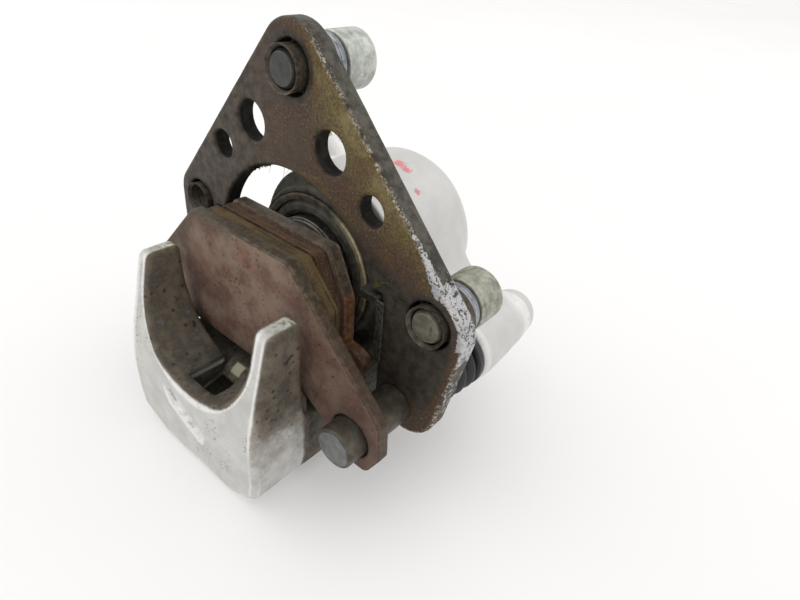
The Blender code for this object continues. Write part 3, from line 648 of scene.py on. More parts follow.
def backing_look():
    """Red-brown pad plate, dusty and pitted, with dark sides and rusty or oily stretches where marked."""
    look = Look("pad_backing_look")
    cloud = look.noise(0.09, 4.0, 0.6)
    mottle = look.noise(0.5, 4.0, 0.65)
    fine = look.noise(2.2, 4.0, 0.65)
    look.colour = look.tones(cloud, 0.35, 0.65, (0.106, 0.061, 0.045), (0.215, 0.150, 0.113))
    rust = look.add(look.noise(0.10, 4.0, 0.6, distort=0.5), look.times(fine, 0.15))
    look.coat((0.165, 0.062, 0.040), look.step(rust, 0.56, 0.74), 0.45)
    look.coat((0.27, 0.20, 0.155), look.step(mottle, 0.5, 0.75), 0.35)
    orange = look.times(look.patches(0.66, 0.72, 0.75, 4.0, 0.7), look.step(cloud, 0.5, 0.6))
    look.coat((0.30, 0.105, 0.030), orange, 0.7)
    uneven = look.add(look.cells(0.62), look.times(look.noise(0.8, 3.0), 0.5))
    pits = look.times(look.step(uneven, 0.48, 0.38), look.patches(0.38, 0.54, 0.10, 2.0))
    look.coat((0.042, 0.024, 0.020), pits, 0.8)
    edge = look.step(look.mark("side"), 0.35, 0.75)
    steel = look.tones(mottle, 0.4, 0.65, (0.042, 0.032, 0.019), (0.100, 0.078, 0.047))
    look.coat(steel, edge, 0.92)
    strip = look.tones(mottle, 0.35, 0.65, (0.10, 0.038, 0.018), (0.26, 0.115, 0.042))
    look.coat(strip, look.mark("rusty"), look.step(fine, 0.3, 0.5))
    rubbed = look.times(look.step(look.mark("worn"), 0.45, 0.95), look.patches(0.45, 0.62, 0.6, 3.0))
    look.coat((0.22, 0.17, 0.135), rubbed, 0.35)
    look.coat((0.075, 0.042, 0.030), look.step(look.axes["X"], 22.0, 46.0), 0.45)
    look.coat((0.078, 0.064, 0.040), look.mark("oily"), look.step(mottle, 0.25, 0.55), 0.85)
    height = look.less(look.times(fine, 0.5), look.times(pits, 0.8))
    rough, metal = look.blend(edge, 0.70, 0.48), look.blend(edge, 0.10, 0.30)
    return look.done(rough, metal, look.bump(height, 0.14), 0.28)


def lining_look(name, dark, light):
    """Friction lining in thin layers along Y, with lighter grains."""
    look = Look(name)
    grains = look.cells(1.3)
    fine = look.noise(3.0, 4.0, 0.7)
    streak = look.noise(0.6, 4.0, 0.65, place=look.stretched(0.12, 2.2, 0.12))
    look.colour = look.tones(look.noise(0.12, 4.0, 0.6), 0.35, 0.65, dark, light)
    look.coat((0.165, 0.092, 0.034), look.step(streak, 0.50, 0.62), 0.6)
    look.coat((0.026, 0.020, 0.013), look.step(streak, 0.46, 0.36), 0.75)
    look.coat((0.24, 0.18, 0.085), look.step(grains, 0.26, 0.14), 0.5)
    look.coat((0.028, 0.022, 0.014), look.step(fine, 0.54, 0.66), 0.6)
    height = look.add(look.times(fine, 0.6), look.times(grains, 0.6))
    return look.done(0.85, 0.0, look.bump(height, 0.25), 0.2)


def rubber_look():
    """Black rubber with pale dust in patches."""
    look = Look("black_rubber_look")
    dust = look.times(look.patches(0.50, 0.74, 0.4, 4.0, 0.65), 0.35)
    look.colour = look.mix(dust, (0.008, 0.008, 0.009), (0.060, 0.054, 0.044))
    look.coat((0.05, 0.048, 0.046), look.mark("worn"), 0.15)
    return look.done(look.blend(dust, 0.42, 0.75), 0.0, look.bump(look.noise(3.0, 3.0, 0.6), 0.04))


def ring_look():
    """Yellow-plated ring, dark all round, with a painted highlight on its right."""
    look = Look("seal_ring_look")
    tone = look.patches(0.32, 0.68, 0.35, 4.0, 0.6)
    # A painted highlight: near this point the ring turns light cream-gold and more metallic.
    lit_patch = look.near((21.0, 9.0, AXIS_HEIGHT + 9.0), 8.0, 19.0)
    # The ring's dark colour, away from the painted highlight.
    ring_dark = look.mix(tone, (0.040, 0.034, 0.024), (0.120, 0.103, 0.066))
    # The painted highlight's colour.
    plated = look.mix(tone, (0.36, 0.30, 0.16), (0.62, 0.55, 0.36))
    look.colour = look.mix(lit_patch, ring_dark, plated)
    return look.done(0.45, look.blend(lit_patch, 0.1, 0.4), look.bump(tone, 0.02), 0.3)


def floor_look():
    """Pale tabletop that glows a little, which keeps the shadows on it light."""
    look = Look("floor_look")
    cloud = look.noise(0.004, 2.0)
    look.colour = look.tones(cloud, 0.3, 0.7, (0.655, 0.650, 0.647), (0.675, 0.671, 0.668))
    look.fill(look.shader.inputs["Emission Color"], (1.0, 0.992, 0.985))
    look.fill(look.shader.inputs["Emission Strength"], 0.25)
    return look.done(0.55, 0.0, look.bump(look.noise(1.2, 2.0), 0.01))


CAST = cast_look()
BRACKET = bracket_look()
BACKING = backing_look()
OUTER_LINING = lining_look("outer_lining_look", (0.052, 0.040, 0.022), (0.118, 0.086, 0.042))
INNER_LINING = lining_look("inner_lining_look", (0.058, 0.036, 0.023), (0.118, 0.066, 0.040))
RUBBER = rubber_look()
ALONG_Y = (2.6, 0.12, 2.6)
BUSH = metal_look("bush_steel_look", (0.040, 0.033, 0.026), (0.105, 0.085, 0.064), 0.42, 0.5,
                  edge=(0.26, 0.225, 0.18), bump=0.08)
TIP_TOP = metal_look("bolt_tip_top_look", (0.046, 0.047, 0.045), (0.068, 0.068, 0.064), 0.45, 0.5,
                     grime_share=0.1, edge=(0.12, 0.115, 0.10))
TIP_RIGHT = metal_look("bolt_tip_right_look", (0.115, 0.106, 0.082), (0.200, 0.185, 0.145), 0.48, 0.5,
                       grime_share=0.2, edge=(0.20, 0.19, 0.16))
ZINC_TOP = metal_look("zinc_top_look", (0.36, 0.375, 0.34), (0.58, 0.60, 0.555), 0.42, 0.5,
                      grime=(0.24, 0.24, 0.19), grime_share=0.3, edge=(0.66, 0.67, 0.63), scratch=ALONG_Y)
# The right bolt's zinc: the top bolt's zinc painted darker, as painted shade, and with more grime.
ZINC_RIGHT_SHADED = metal_look("zinc_right_shaded_look", (0.22, 0.225, 0.18), (0.42, 0.425, 0.35), 0.45, 0.5,
                        grime=(0.14, 0.135, 0.09), grime_share=0.5, edge=(0.52, 0.52, 0.46), scratch=ALONG_Y)
WASHER = metal_look("washer_steel_look", (0.15, 0.160, 0.175), (0.31, 0.328, 0.35), 0.3, 0.8,
                    grime_share=0.2, edge=(0.5, 0.52, 0.56))
PIN = metal_look("pin_steel_look", (0.062, 0.055, 0.042), (0.125, 0.112, 0.086), 0.42, 0.5,
                 grime=(0.050, 0.042, 0.028), grime_share=0.5)
PIN_FACE = metal_look("pin_face_look", (0.125, 0.128, 0.125), (0.185, 0.190, 0.185), 0.40, 0.55,
                      grime=(0.075, 0.068, 0.050), grime_share=0.3)
CLIP = metal_look("clip_steel_look", (0.013, 0.012, 0.010), (0.032, 0.029, 0.023), 0.5, 0.2,
                  edge=(0.075, 0.067, 0.052))
SPRING = metal_look("spring_steel_look", (0.040, 0.034, 0.025), (0.105, 0.092, 0.068), 0.48, 0.4,
                    grime=(0.020, 0.016, 0.011), grime_share=0.6, bare=(0.34, 0.32, 0.235))
CHROME = metal_look("piston_look", (0.10, 0.095, 0.082), (0.24, 0.235, 0.21), 0.28, 0.85,
                    grime_share=0.45, edge=(0.4, 0.39, 0.36))
SHIM = metal_look("shim_look", (0.10, 0.09, 0.075), (0.20, 0.19, 0.165), 0.4, 0.7, grime_share=0.5)
SEAL = metal_look("seal_face_look", (0.050, 0.050, 0.040), (0.100, 0.098, 0.078), 0.5, 0.15,
                  grime_share=0.25, bump=0.05)
RING = ring_look()
BLEEDER = metal_look("bleeder_look", (0.34, 0.28, 0.13), (0.56, 0.48, 0.26), 0.38, 0.8,
                     grime_share=0.25, edge=(0.66, 0.60, 0.38))
GRIME = metal_look("grime_look", (0.016, 0.014, 0.009), (0.050, 0.043, 0.026), 0.9, 0.0, bump=0.1)
MOSS = metal_look("moss_look", (0.050, 0.048, 0.015), (0.16, 0.145, 0.050), 0.9, 0.0, bump=0.1)


# ---------------------------------------------------------------- places

def middle(node):
    """A turned node's axis in X and Z, and its extent along Y, in millimetres."""
    low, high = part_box(node)
    place = ((low.x + high.x) / 2.0 / MM, (low.z + high.z) / 2.0 / MM - AXIS_HEIGHT)
    return place, low.y / MM, high.y / MM


TOP = middle("mount_bush_top")[0]
RIGHT = middle("mount_bush_right")[0]
LEFT = middle("mount_bush_left")[0]
PIN_RIGHT = middle("guide_pin_right")[0]
PIN_LEFT = middle("guide_pin_left")[0]
PLATE_FRONT, PLATE_REAR = middle("bracket_plate")[1:]


# ---------------------------------------------------------------- caliper casting

FOOT = ((31.0, -40.0), (29.5, -47.5), (18.0, -53.0), (-18.0, -53.0), (-29.5, -47.5), (-31.0, -40.0))
CLAW = ((31.0, 9.0), *FOOT, (-31.0, 9.0))
BRIDGE = ((31.0, -18.0), *FOOT, (-31.0, -18.0))
WEB = ((14.8, -18.0), (14.8, -36.0), (6.0, -42.0), (6.0, -51.0), (36.0, -51.0), (54.0, -30.0), (54.0, -14.0))
GUSSET = ((-24.5, -16.0), (-22.0, -16.0), (-20.0, -20.0), (-20.0, -26.0), (-15.6, -28.0), (-15.6, -36.0),
          (-24.5, -36.0))
CLAW_CORNER_R = 2.8
CLAW_INSET = inset(CLAW, CLAW_CORNER_R)
CLAW_FRONT, CLAW_REAR = -41.5, -22.5
SLOPE_FOOT, CLAW_TOP, TIP_FRONT = -24.0, 9.0, -33.0
BRIDGE_FRONT, BRIDGE_REAR = -31.5, 34.0
NOTCH_R, NOTCH_REAR = 24.5, -20.5
WINDOW_HALF, WINDOW_TOP = 6.6, -15.0
WINDOW_MIDDLE, WINDOW_REACH = -22.5, 13.0
POCKET = ((-11.2, -29.8), (-9.6, -34.2), (4.2, -40.0), (9.0, -30.0), (-6.0, -24.0))
POCKET_DEPTH, POCKET_RUN, POCKET_UPHILL = 1.5, 8.0, (0.387, 0.922)
ROTOR_EDGE_R, ROTOR_AXIS = 114.0, 85.0
BARREL_AT = (9.5, 14.4, 15.4, 28.5, 32.5, 56.0, 59.5, 61.6, 62.5)
BARREL_R = (26.0, 26.0, 30.5, 30.5, 29.6, 28.9, 27.2, 24.6, 22.0)
BOSS_AT = (33.5, 39.5, 60.0, 69.0, 73.0)
BOSS_R = (11.5, 11.5, 10.1, 8.9, 7.6)
ARM_ROOT, ARM_ROOT_R, ARM_TIP_R = 0.2, 21.0, 9.6
ARM_FRONT, ARM_REAR = 36.0, 53.0
SEAT_R, SEAT_END = 24.3, 13.5
BORE_R, BORE_END = 17.3, 54.5
GROOVE_R, GROOVE_AT, GROOVE_HALF = 20.2, 24.8, 1.8
PIN_BORE_R, PIN_BORE_END = 4.85, 64.0
BLEEDER_AT = 39.5
BLEEDER_FOOT, BLEEDER_SEAT = 22.0, 38.0
BLEEDER_BORE_R, BLEEDER_BORE_END = 3.4, 28.0
PORT = (-9.0, -7.0)
PORT_FOOT, PORT_END = 52.0, 65.5
PORT_BORE_R, PORT_BORE_END = 4.3, 58.0
DIAGONAL = math.sqrt(0.5)


def casting(x, y, z):
    """Claw with its sloped front, bridge, cylinder, sliding arms and bosses, less every opening and bore."""
    lean = math.hypot(TIP_FRONT - CLAW_FRONT, CLAW_TOP - SLOPE_FOOT)
    up, back = (CLAW_TOP - SLOPE_FOOT) / lean, (TIP_FRONT - CLAW_FRONT) / lean
    slope = (z - SLOPE_FOOT) * back - (y - CLAW_FRONT) * up
    front = outline(x, z, CLAW_INSET) - CLAW_CORNER_R
    claw = soft_max(slab(front, y, CLAW_FRONT, CLAW_REAR, 2.0), slope, 2.0)
    section = soft_max(outline(x, z, BRIDGE), ROTOR_EDGE_R - np.hypot(x, z - ROTOR_AXIS), 1.5)
    body = soft_min(claw, slab(section, y, BRIDGE_FRONT, BRIDGE_REAR, 2.0), 3.0)
    body = np.maximum(body, front)
    for side in (-1.0, 1.0):
        body = soft_min(body, slab(outline(y, z, GUSSET), x * side, 25.2, 29.7, 0.8), 1.2)
    radial = np.hypot(x, z)
    barrel = turned_field(radial, y, BARREL_AT, BARREL_R, 1.4)
    body = soft_min(body, soft_min(barrel, slab(outline(y, z, WEB), x, -23.5, 23.5, 2.5), 4.0), 3.5)
    for side in (-1.0, 1.0):
        place = (PIN_RIGHT[0] * side, PIN_RIGHT[1])
        root = (place[0] * ARM_ROOT, place[1] * ARM_ROOT)
        arm = capsule(x, z, root, ARM_ROOT_R, place, ARM_TIP_R)
        body = soft_min(body, slab(arm, y, ARM_FRONT, ARM_REAR, 3.0), 5.0)
        boss = turned_field(np.hypot(x - place[0], z - place[1]), y, BOSS_AT, BOSS_R, 3.0)
        body = soft_min(body, boss, 2.5)
    out = (z - x) * DIAGONAL
    beside = np.hypot(y - BLEEDER_AT, (x + z) * DIAGONAL)
    body = soft_min(body, turned_field(beside, out, (BLEEDER_FOOT, BLEEDER_SEAT), (8.2, 7.2), 0.8), 3.0)
    port = np.hypot(x - PORT[0], z - PORT[1])
    body = soft_min(body, turned_field(port, y, (PORT_FOOT, PORT_END), (9.6, 9.0), 0.8), 2.5)
    notch = np.maximum(np.hypot(x, np.minimum(z, 0.0)) - NOTCH_R, y - NOTCH_REAR)
    body = soft_cut(body, notch, 1.6)
    window = np.maximum(np.abs(x) - WINDOW_HALF, np.abs(y - WINDOW_MIDDLE) - WINDOW_REACH)
    body = soft_cut(body, np.maximum(window, z - WINDOW_TOP), 1.2)
    uphill = (x - POCKET[1][0]) * POCKET_UPHILL[0] + (z - POCKET[1][1]) * POCKET_UPHILL[1]
    depth = POCKET_DEPTH * (1.0 - uphill / POCKET_RUN)
    pocket = np.maximum(outline(x, z, POCKET), y - CLAW_FRONT - depth)
    body = soft_cut(body, pocket, 0.3)
    seat = np.maximum(radial - SEAT_R, y - SEAT_END)
    bore = np.minimum(seat, np.maximum(radial - BORE_R, y - BORE_END))
    bore = np.minimum(bore, np.maximum(radial - GROOVE_R, np.abs(y - GROOVE_AT) - GROOVE_HALF))
    body = soft_cut(body, bore, 0.6)
    for side in (-1.0, 1.0):
        pin = np.hypot(x - PIN_RIGHT[0] * side, z - PIN_RIGHT[1]) - PIN_BORE_R
        body = soft_cut(body, np.maximum(pin, y - PIN_BORE_END), 0.4)
    body = soft_cut(body, np.maximum(beside - BLEEDER_BORE_R, BLEEDER_BORE_END - out), 0.4)
    body = soft_cut(body, np.maximum(port - PORT_BORE_R, PORT_BORE_END - y), 0.4)
    return body + 0.10 * wobble(x, y, z, 6.0) * ramp(np.abs(y - 5.0), 4.0, 12.0)


def casting_marks(x, y, z):
    """How dirty, grimy, mossy, pitted or touched with red paint the casting is, and where painted shade lies:
    on the claw's right side, behind it, under the pads and in the bridge window.
    """
    around = np.hypot(x, np.minimum(z, 0.0))
    in_notch = ramp(-np.abs(around - NOTCH_R), -1.9, -0.9) * ramp(-y, 15.0, 18.0)
    in_notch = in_notch * ramp(y, -41.0, -40.2)
    # The claw's right side is darkened: dirt, and painted shade on the side turned from the key light,
    # strongest in its upper part.
    right = ramp(x, 28.8, 30.4) * ramp(z, -62.0, -8.0) * ramp(-y, -24.0, -4.0)
    shade = right * ramp(z, -40.0, -12.0) * ramp(y, -41.4, -37.0)
    top = ramp(z, 7.4, 8.8) * ramp(-y, 20.0, 24.0)
    # Painted shade on the claw's rear face and on all behind it to about Y 10, in the pads' shadow.
    behind = ramp(y, -24.5, -22.0) * ramp(-y, -12.0, -8.0)
    # Painted shade low down behind the claw, under the pads.
    hidden_shade = ramp(y, -23.0, -18.0) * ramp(-y, -38.0, -20.0) * ramp(-z, 8.0, 26.0)
    from_pin = np.hypot(np.abs(x) - PIN_RIGHT[0], z - PIN_RIGHT[1])
    clear_of_pin = ramp(from_pin, 12.0, 14.0)
    hidden_shade = hidden_shade * ramp(z, -45.0, -40.0) * clear_of_pin
    # Grime darkening the barrel's front round the seal.
    rim = ramp(-y, -20.0, -15.2) * ramp(y, 5.0, 9.0) * clear_of_pin
    # Painted shade on the walls of the bridge window.
    window = ramp(-np.abs(x), -8.4, -7.0) * ramp(y, -37.0, -35.8) * ramp(-y, 8.0, 10.0)
    window = window * ramp(-z, 25.5, 28.0)
    # The darkest parts: painted shade behind the claw and in the window, and the barrel front's grime.
    dark = np.maximum.reduce([rim, hidden_shade, window])
    # Painted shade on the notch floor down by the window.
    deep = in_notch * ramp(-z, 17.0, 24.0) * ramp(y, -40.0, -36.0)
    # The dirt mark holds the dirt in the notch and on top, the painted shade on the right side, behind the
    # claw and in the darkest parts, and the barrel front's grime.
    dirt = np.maximum.reduce([0.9 * in_notch, 0.62 * right, 1.25 * shade, 0.35 * top, 0.9 * behind, dark])
    pitted = ramp(-x, 20.0, 24.0) * ramp(z, -26.0, -14.0) * ramp(-z, -7.0, 0.0)
    by_mouth = 1.0 - ramp(np.hypot(x - 12.5, z + 30.5), 3.0, 7.5)
    paint = np.zeros_like(x)
    for px, py, pz, size in ((6.0, 43.0, 28.9, 5.2), (9.5, 42.5, 28.0, 4.0), (17.8, 39.0, 23.9, 2.6)):
        away = np.sqrt((x - px) ** 2 + (y - py) ** 2 + (z - pz) ** 2)
        paint = np.maximum(paint, 1.0 - away / size)
    return {
        "pitted": np.maximum(pitted, by_mouth) * ramp(-y, 30.0, 34.0),
        "dirt": dirt,
        # Where the darker brown goes: the notch's dirt, and painted shade behind the claw and on its right
        # side.
        "inner": np.maximum.reduce([in_notch, behind, shade]),
        # Painted shade under the pads, in the window and low in the notch, with the barrel front's grime.
        "soot": np.maximum(dark, 0.50 * deep),
        "moss": np.maximum(top * ramp(y, -34.0, -24.0), 0.5 * in_notch * ramp(z, 2.0, 8.0)),
        "paint": np.clip(paint, 0.0, 1.0),
    }


field_piece("caliper_body_cast", casting, (-60.0, -43.0, -55.0), (60.0, 75.0, 34.0), 0.66, CAST, "caliper",
            ("caliper_body",), 3.0, casting_marks)


# ---------------------------------------------------------------- bracket plate

CORNERS = ((TOP, 12.0), ((54.8, 7.2), 11.3), ((49.3, -21.3), 11.3), ((-48.5, -22.0), 11.3),
           ((-48.7, 10.0), 10.0))
PLATE_OUTLINE = hull_of_circles(CORNERS)
LIGHT_HOLES = ((-16.0, 45.0, 6.0), (16.5, 44.5, 6.0), (-31.0, 34.0, 4.5), (32.0, 33.5, 4.5))
FIT_HOLES = ((*TOP, 7.15), (*RIGHT, 7.15), (*LEFT, 6.95), (*PIN_RIGHT, 5.3), (*PIN_LEFT, 5.3))
ARCH_R, GUIDE_HALF, GUIDE_TOP = 35.0, 38.0, 11.0


def plate(x, y, z):
    flat = outline(x, z, PLATE_OUTLINE)
    guide = np.maximum(np.abs(x) - GUIDE_HALF, z - GUIDE_TOP)
    opening = soft_min(np.hypot(x, z) - ARCH_R, guide, 1.5)
    flat = soft_cut(flat, opening, 1.5)
    body = slab(flat, y, PLATE_FRONT, PLATE_REAR, 0.8)
    for hx, hz, radius in LIGHT_HOLES:
        body = soft_max(body, radius - np.hypot(x - hx, z - hz), 0.9)
    for hx, hz, radius in FIT_HOLES:
        body = np.maximum(body, radius - np.hypot(x - hx, z - hz))
    return body + 0.04 * wobble(x, y, z, 3.5)


def plate_marks(x, y, z):
    """How golden, greasy or chipped bare the plate is, with painted shade inside its holes and a painted
    highlight line along its right front edge.
    """
    rim = outline(x, z, PLATE_OUTLINE)
    side = ramp(rim, -0.8, -0.1)
    right_edge = ramp(x, 2.0, 12.0)
    falling = (1.0 - ramp(-rim, 1.0, 19.0)) * right_edge
    top_cap = 0.75 * ramp(z, 52.0, 68.0)
    near_arch = 0.45 * (1.0 - ramp(np.hypot(x, z) - ARCH_R, 0.0, 9.0)) * ramp(x, -4.0, 6.0)
    gold = np.maximum(falling * ramp(z, 9.0, 36.0), np.maximum(top_cap * right_edge, near_arch))
    lower = 1.0 - ramp(z + 0.5 * (x - 30.0), 17.0, 33.0)
    grease = lower * ramp(-rim, 0.5, 5.0) * ramp(x, 0.0, 20.0)
    grease = grease * (1.0 - 0.7 * ramp(-z, 12.0, 24.0))
    for hx, hz, radius in FIT_HOLES[:3]:
        ring = ramp(-(np.hypot(x - hx, z - hz) - radius), -3.2, -0.6)
        grease = np.maximum(grease, 0.85 * ring)
    opening = np.minimum(np.hypot(x, z) - ARCH_R, np.maximum(np.abs(x) - GUIDE_HALF, z - GUIDE_TOP))
    # Painted shade deep inside the holes and the arch.
    walls = ramp(-opening, -0.9, -0.3)
    for hx, hz, radius in LIGHT_HOLES + FIT_HOLES:
        walls = np.maximum(walls, ramp(radius - np.hypot(x - hx, z - hz), -0.8, -0.3))
    walls = walls * ramp(y, 0.5, 1.3)
    corner = np.hypot(x - RIGHT[0], z - RIGHT[1])
    front = ramp(-y, -2.2, -0.6)
    band = 1.6 + 4.6 * (1.0 - ramp(z, 10.0, 34.0))
    on_face = ramp(rim + band, 0.0, 2.2) * ramp(z, 0.0, 9.0)
    on_face = on_face * (1.0 - ramp(z, 30.0, 48.0)) * front
    on_side = ramp(rim, -1.2, -0.4) * ramp(z, -4.0, 4.0) * (1.0 - ramp(z, 17.0, 31.0))
    chips = np.maximum(0.95 * on_face, 0.86 * on_side) * right_edge * ramp(corner, 8.4, 10.0)
    below = ramp(-z, -4.0, 6.0) * side * ramp(x, 40.0, 50.0) * 0.60
    # The thin line along the right front edge that carries the painted highlight.
    line = ramp(rim, -1.3, -0.5) * ramp(-rim, -0.4, 0.1) * right_edge
    line = line * ramp(-y, -1.2, -0.2)
    return {
        "side": side * (1.0 - ramp(-z, 6.0, 20.0)),
        "gold": gold,
        "grease": grease,
        "walls": walls,
        "line": line,
        "chips": np.clip(np.maximum(chips, below), 0.0, 1.0),
        "rim": ramp(rim, -2.2, -0.2) * ramp(-x, -4.0, 6.0),
    }


field_piece("bracket_plate_worn", plate, (-63.0, -2.0, -36.0), (68.0, 8.0, 78.0), 0.5, BRACKET, "bracket",
            ("bracket_plate",), 1.6, plate_marks)


# ---------------------------------------------------------------- pads

def mirrored(points):
    """Both halves of an outline given on its right side."""
    return points + [(-u, v, r) for u, v, r in reversed(points)]


def flat_points(corners):
    return [(u, v) for u, v, _ in rounded(corners, 4)]


OUTER_BACKING = flat_points(mirrored([
    (21.5, 21.0, 2.5), (39.4, 3.2, 2.0), (56.4, -14.0, 2.5), (57.0, -26.0, 3.0),
    (52.5, -34.0, 3.0), (44.0, -34.0, 3.0), (34.5, -25.0, 3.0), (28.0, -21.0, 2.0),
]))
OUTER_FACING = flat_points(mirrored([
    (21.0, 20.0, 2.0), (32.0, 8.0, 2.0), (32.0, -10.0, 2.0), (27.0, -20.0, 2.0),
]))
INNER_FACING = flat_points(mirrored([
    (21.0, 19.6, 2.0), (27.6, 5.0, 2.0), (27.6, -10.0, 2.0), (24.0, -20.0, 2.0),
]))
INNER_BACKING = flat_points(mirrored([
    (21.5, 20.0, 2.0), (28.4, 5.5, 2.0), (28.4, -10.5, 0.8), (32.0, -10.5, 3.6), (36.4, -12.5, 2.0),
    (36.4, -18.0, 2.0), (32.0, -20.5, 3.0), (26.0, -21.0, 2.0),
]))


def pad_plate(name, node, points, body, material, radius, rough, holes=()):
    """A flat pad part with uneven faces, as large as its CAD node."""
    lowest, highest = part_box(node)
    low, high = lowest.y / MM, highest.y / MM
    left, right = lowest.x / MM, highest.x / MM
    bottom, top = lowest.z / MM - AXIS_HEIGHT, highest.z / MM - AXIS_HEIGHT

    def field(x, y, z):
        shape = slab(outline(x, z, points), y, low, high, radius)
        for hx, hz, reach in holes:
            shape = soft_max(shape, reach - np.hypot(x - hx, z - hz), 0.5)
        return shape + rough * wobble(x, y, z, 1.1)

    def side_marks(x, y, z):
        rim = outline(x, z, points)
        side = ramp(rim, -0.9, -0.2)
        inner = 1.0 if node == "inner_backing_plate" else 0.0
        rusty = inner * side * ramp(np.abs(x), 27.0, 28.2)
        rusty = rusty * (0.35 + 0.65 * ramp(-np.abs(x), -31.5, -29.5))
        oily = ramp(rim, -5.5, -1.0) * ramp(-x, -8.0, 22.0) * (1.0 - inner)
        return {"side": side, "rusty": rusty, "oily": oily}

    margin, step = 1.5, 0.45
    field_piece(name, field, (left - margin, low - margin, bottom - margin),
                (right + margin, high + margin, top + margin), step, material, body, (node,), 1.4,
                side_marks)


pad_plate("outer_backing_worn", "outer_backing_plate", OUTER_BACKING, "outer_pad", BACKING,
          0.7, 0.02, ((*PIN_RIGHT, 7.0), (*PIN_LEFT, 7.0)))
pad_plate("outer_lining_worn", "outer_lining", OUTER_FACING, "outer_pad", OUTER_LINING,
          0.5, 0.08)
pad_plate("inner_lining_worn", "inner_lining", INNER_FACING, "inner_pad", INNER_LINING,
          0.5, 0.08)
pad_plate("inner_backing_worn", "inner_backing_plate", INNER_BACKING, "inner_pad", BACKING,
          0.6, 0.02)


# ---------------------------------------------------------------- bolts, bushes, washers and pins

def make_bush(name, node, place, radius, flange):
    """A collar with a chamfered mouth and a threaded bore."""
    front, rear = middle(node)[1:]
    behind = PLATE_REAR + 0.3
    bore, ridge, pitch = 5.25, 0.35, 1.25
    profile = rounded([
        (radius, front, 0.6), (radius, behind, 0.0), (flange, behind, 0.0), (flange, rear, 0.4),
        (bore + 0.7, rear, 0.2), (bore, rear - 0.8, 0.0),
    ])
    along = rear - 1.2
    while along > front + 2.0:
        profile.append((bore, along, 0.0))
        profile.append((bore + ridge, along - pitch / 2.0, 0.0))
        along -= pitch
    profile += [(bore, front + 1.0, 0.0), (bore + 0.8, front + 0.05, 0.5), (radius - 0.9, front, 0.6)]
    lathe(name, profile, place, BUSH, "bracket", (node,))


def make_bolt(name, node, place, head_look, tip_look):
    """The shank shows its flat tip in the bush, and the cap head its hexagon socket."""
    front, rear = middle(node)[1:]
    shank, head, head_height, socket = 4.85, 8.2, 10.8, 4.0
    under = rear - head_height
    tip = rounded([
        (0.0, front + 0.1, 0.0), (shank - 0.65, front + 0.1, 0.3), (shank, front + 1.2, 0.0),
        (shank, under - 0.05, 0.0), (0.0, under - 0.05, 0.0),
    ])
    lathe(name + "_shank", tip, place, tip_look, "bracket")
    profile = [(0.0, under, 0.0)] + rounded([
        (shank + 0.05, under, 0.0), (head, under, 0.5), (head, rear, 1.1), (5.6, rear, 0.25),
        (4.75, rear - 0.7, 0.0),
    ])
    flats = (len(profile), len(profile) + 1)
    profile += [(socket, rear - 0.9, 0.3), (socket, rear - 5.0, 0.0), (1.2, rear - 5.6, 0.0),
                (0.0, rear - 6.0, 0.0)]
    lathe(name + "_head", profile, place, head_look, "bracket", (node,), flats=flats)


def ring_band(inner, outer, front, rear, inner_edge=0.2, outer_edge=0.2):
    """The section of a ring with rounded edges."""
    return rounded([(inner, front, inner_edge), (outer, front, outer_edge), (outer, rear, outer_edge),
                    (inner, rear, inner_edge)])


def make_washers(side, place):
    """A flat washer, and a split one whose ends stand apart."""
    flat, split = "flat_washer_" + side, "spring_washer_" + side
    hole, flat_r, split_r, rise = 5.3, 8.2, 7.7, 0.3
    front, rear = middle(flat)[1:]
    ring = ring_band(hole, flat_r, front, rear, outer_edge=0.4)
    lathe(flat + "_round", ring, place, WASHER, "bracket", (flat,))
    front, rear = middle(split)[1:]
    ring = ring_band(hole, split_r, front + rise, rear - rise, outer_edge=0.4)
    lathe(split + "_coil", ring, place, WASHER, "bracket", (split,), gap=9.0, rise=rise)


def make_pin(name, node, place):
    """Thick where the pads hang, riveted in the plate, and thin where the caliper slides."""
    front, rear = middle(node)[1:]
    rivet = PLATE_REAR + 0.3
    thick, neck, head, thin = 6.4, 5.0, 8.0, 4.5
    pin = rounded([
        (0.0, front + 0.3, 0.0), (4.9, front + 0.2, 0.2), (thick, front + 0.6, 0.5), (thick, -0.3, 0.3),
        (neck, -0.3, 0.0), (neck, rivet, 0.0), (head, rivet, 0.2), (head, rivet + 1.4, 0.5),
        (thin, rivet + 2.2, 0.3), (thin, rear - 1.0, 0.2), (thin - 1.0, rear, 0.2), (0.0, rear, 0.0),
    ])
    lathe(name, pin, place, PIN, "bracket", (node,))
    face = rounded([
        (0.0, front, 0.0), (5.5, front + 0.05, 0.35), (5.5, front + 0.8, 0.0), (0.0, front + 0.8, 0.0),
    ])
    lathe(name + "_face", face, place, PIN_FACE, "bracket")


make_bush("mount_bush_top_worn", "mount_bush_top", TOP, 7.1, 9.4)
make_bush("mount_bush_right_worn", "mount_bush_right", RIGHT, 7.1, 9.4)
make_bush("mount_bush_left_worn", "mount_bush_left", LEFT, 6.9, 7.2)
make_bolt("mount_bolt_top_worn", "mount_bolt_top", TOP, ZINC_TOP, TIP_TOP)
make_bolt("mount_bolt_right_worn", "mount_bolt_right", RIGHT, ZINC_RIGHT_SHADED, TIP_RIGHT)
make_washers("top", TOP)
make_washers("right", RIGHT)
make_pin("guide_pin_right_worn", "guide_pin_right", PIN_RIGHT)
make_pin("guide_pin_left_worn", "guide_pin_left", PIN_LEFT)


# ---------------------------------------------------------------- pad clips and pad spring

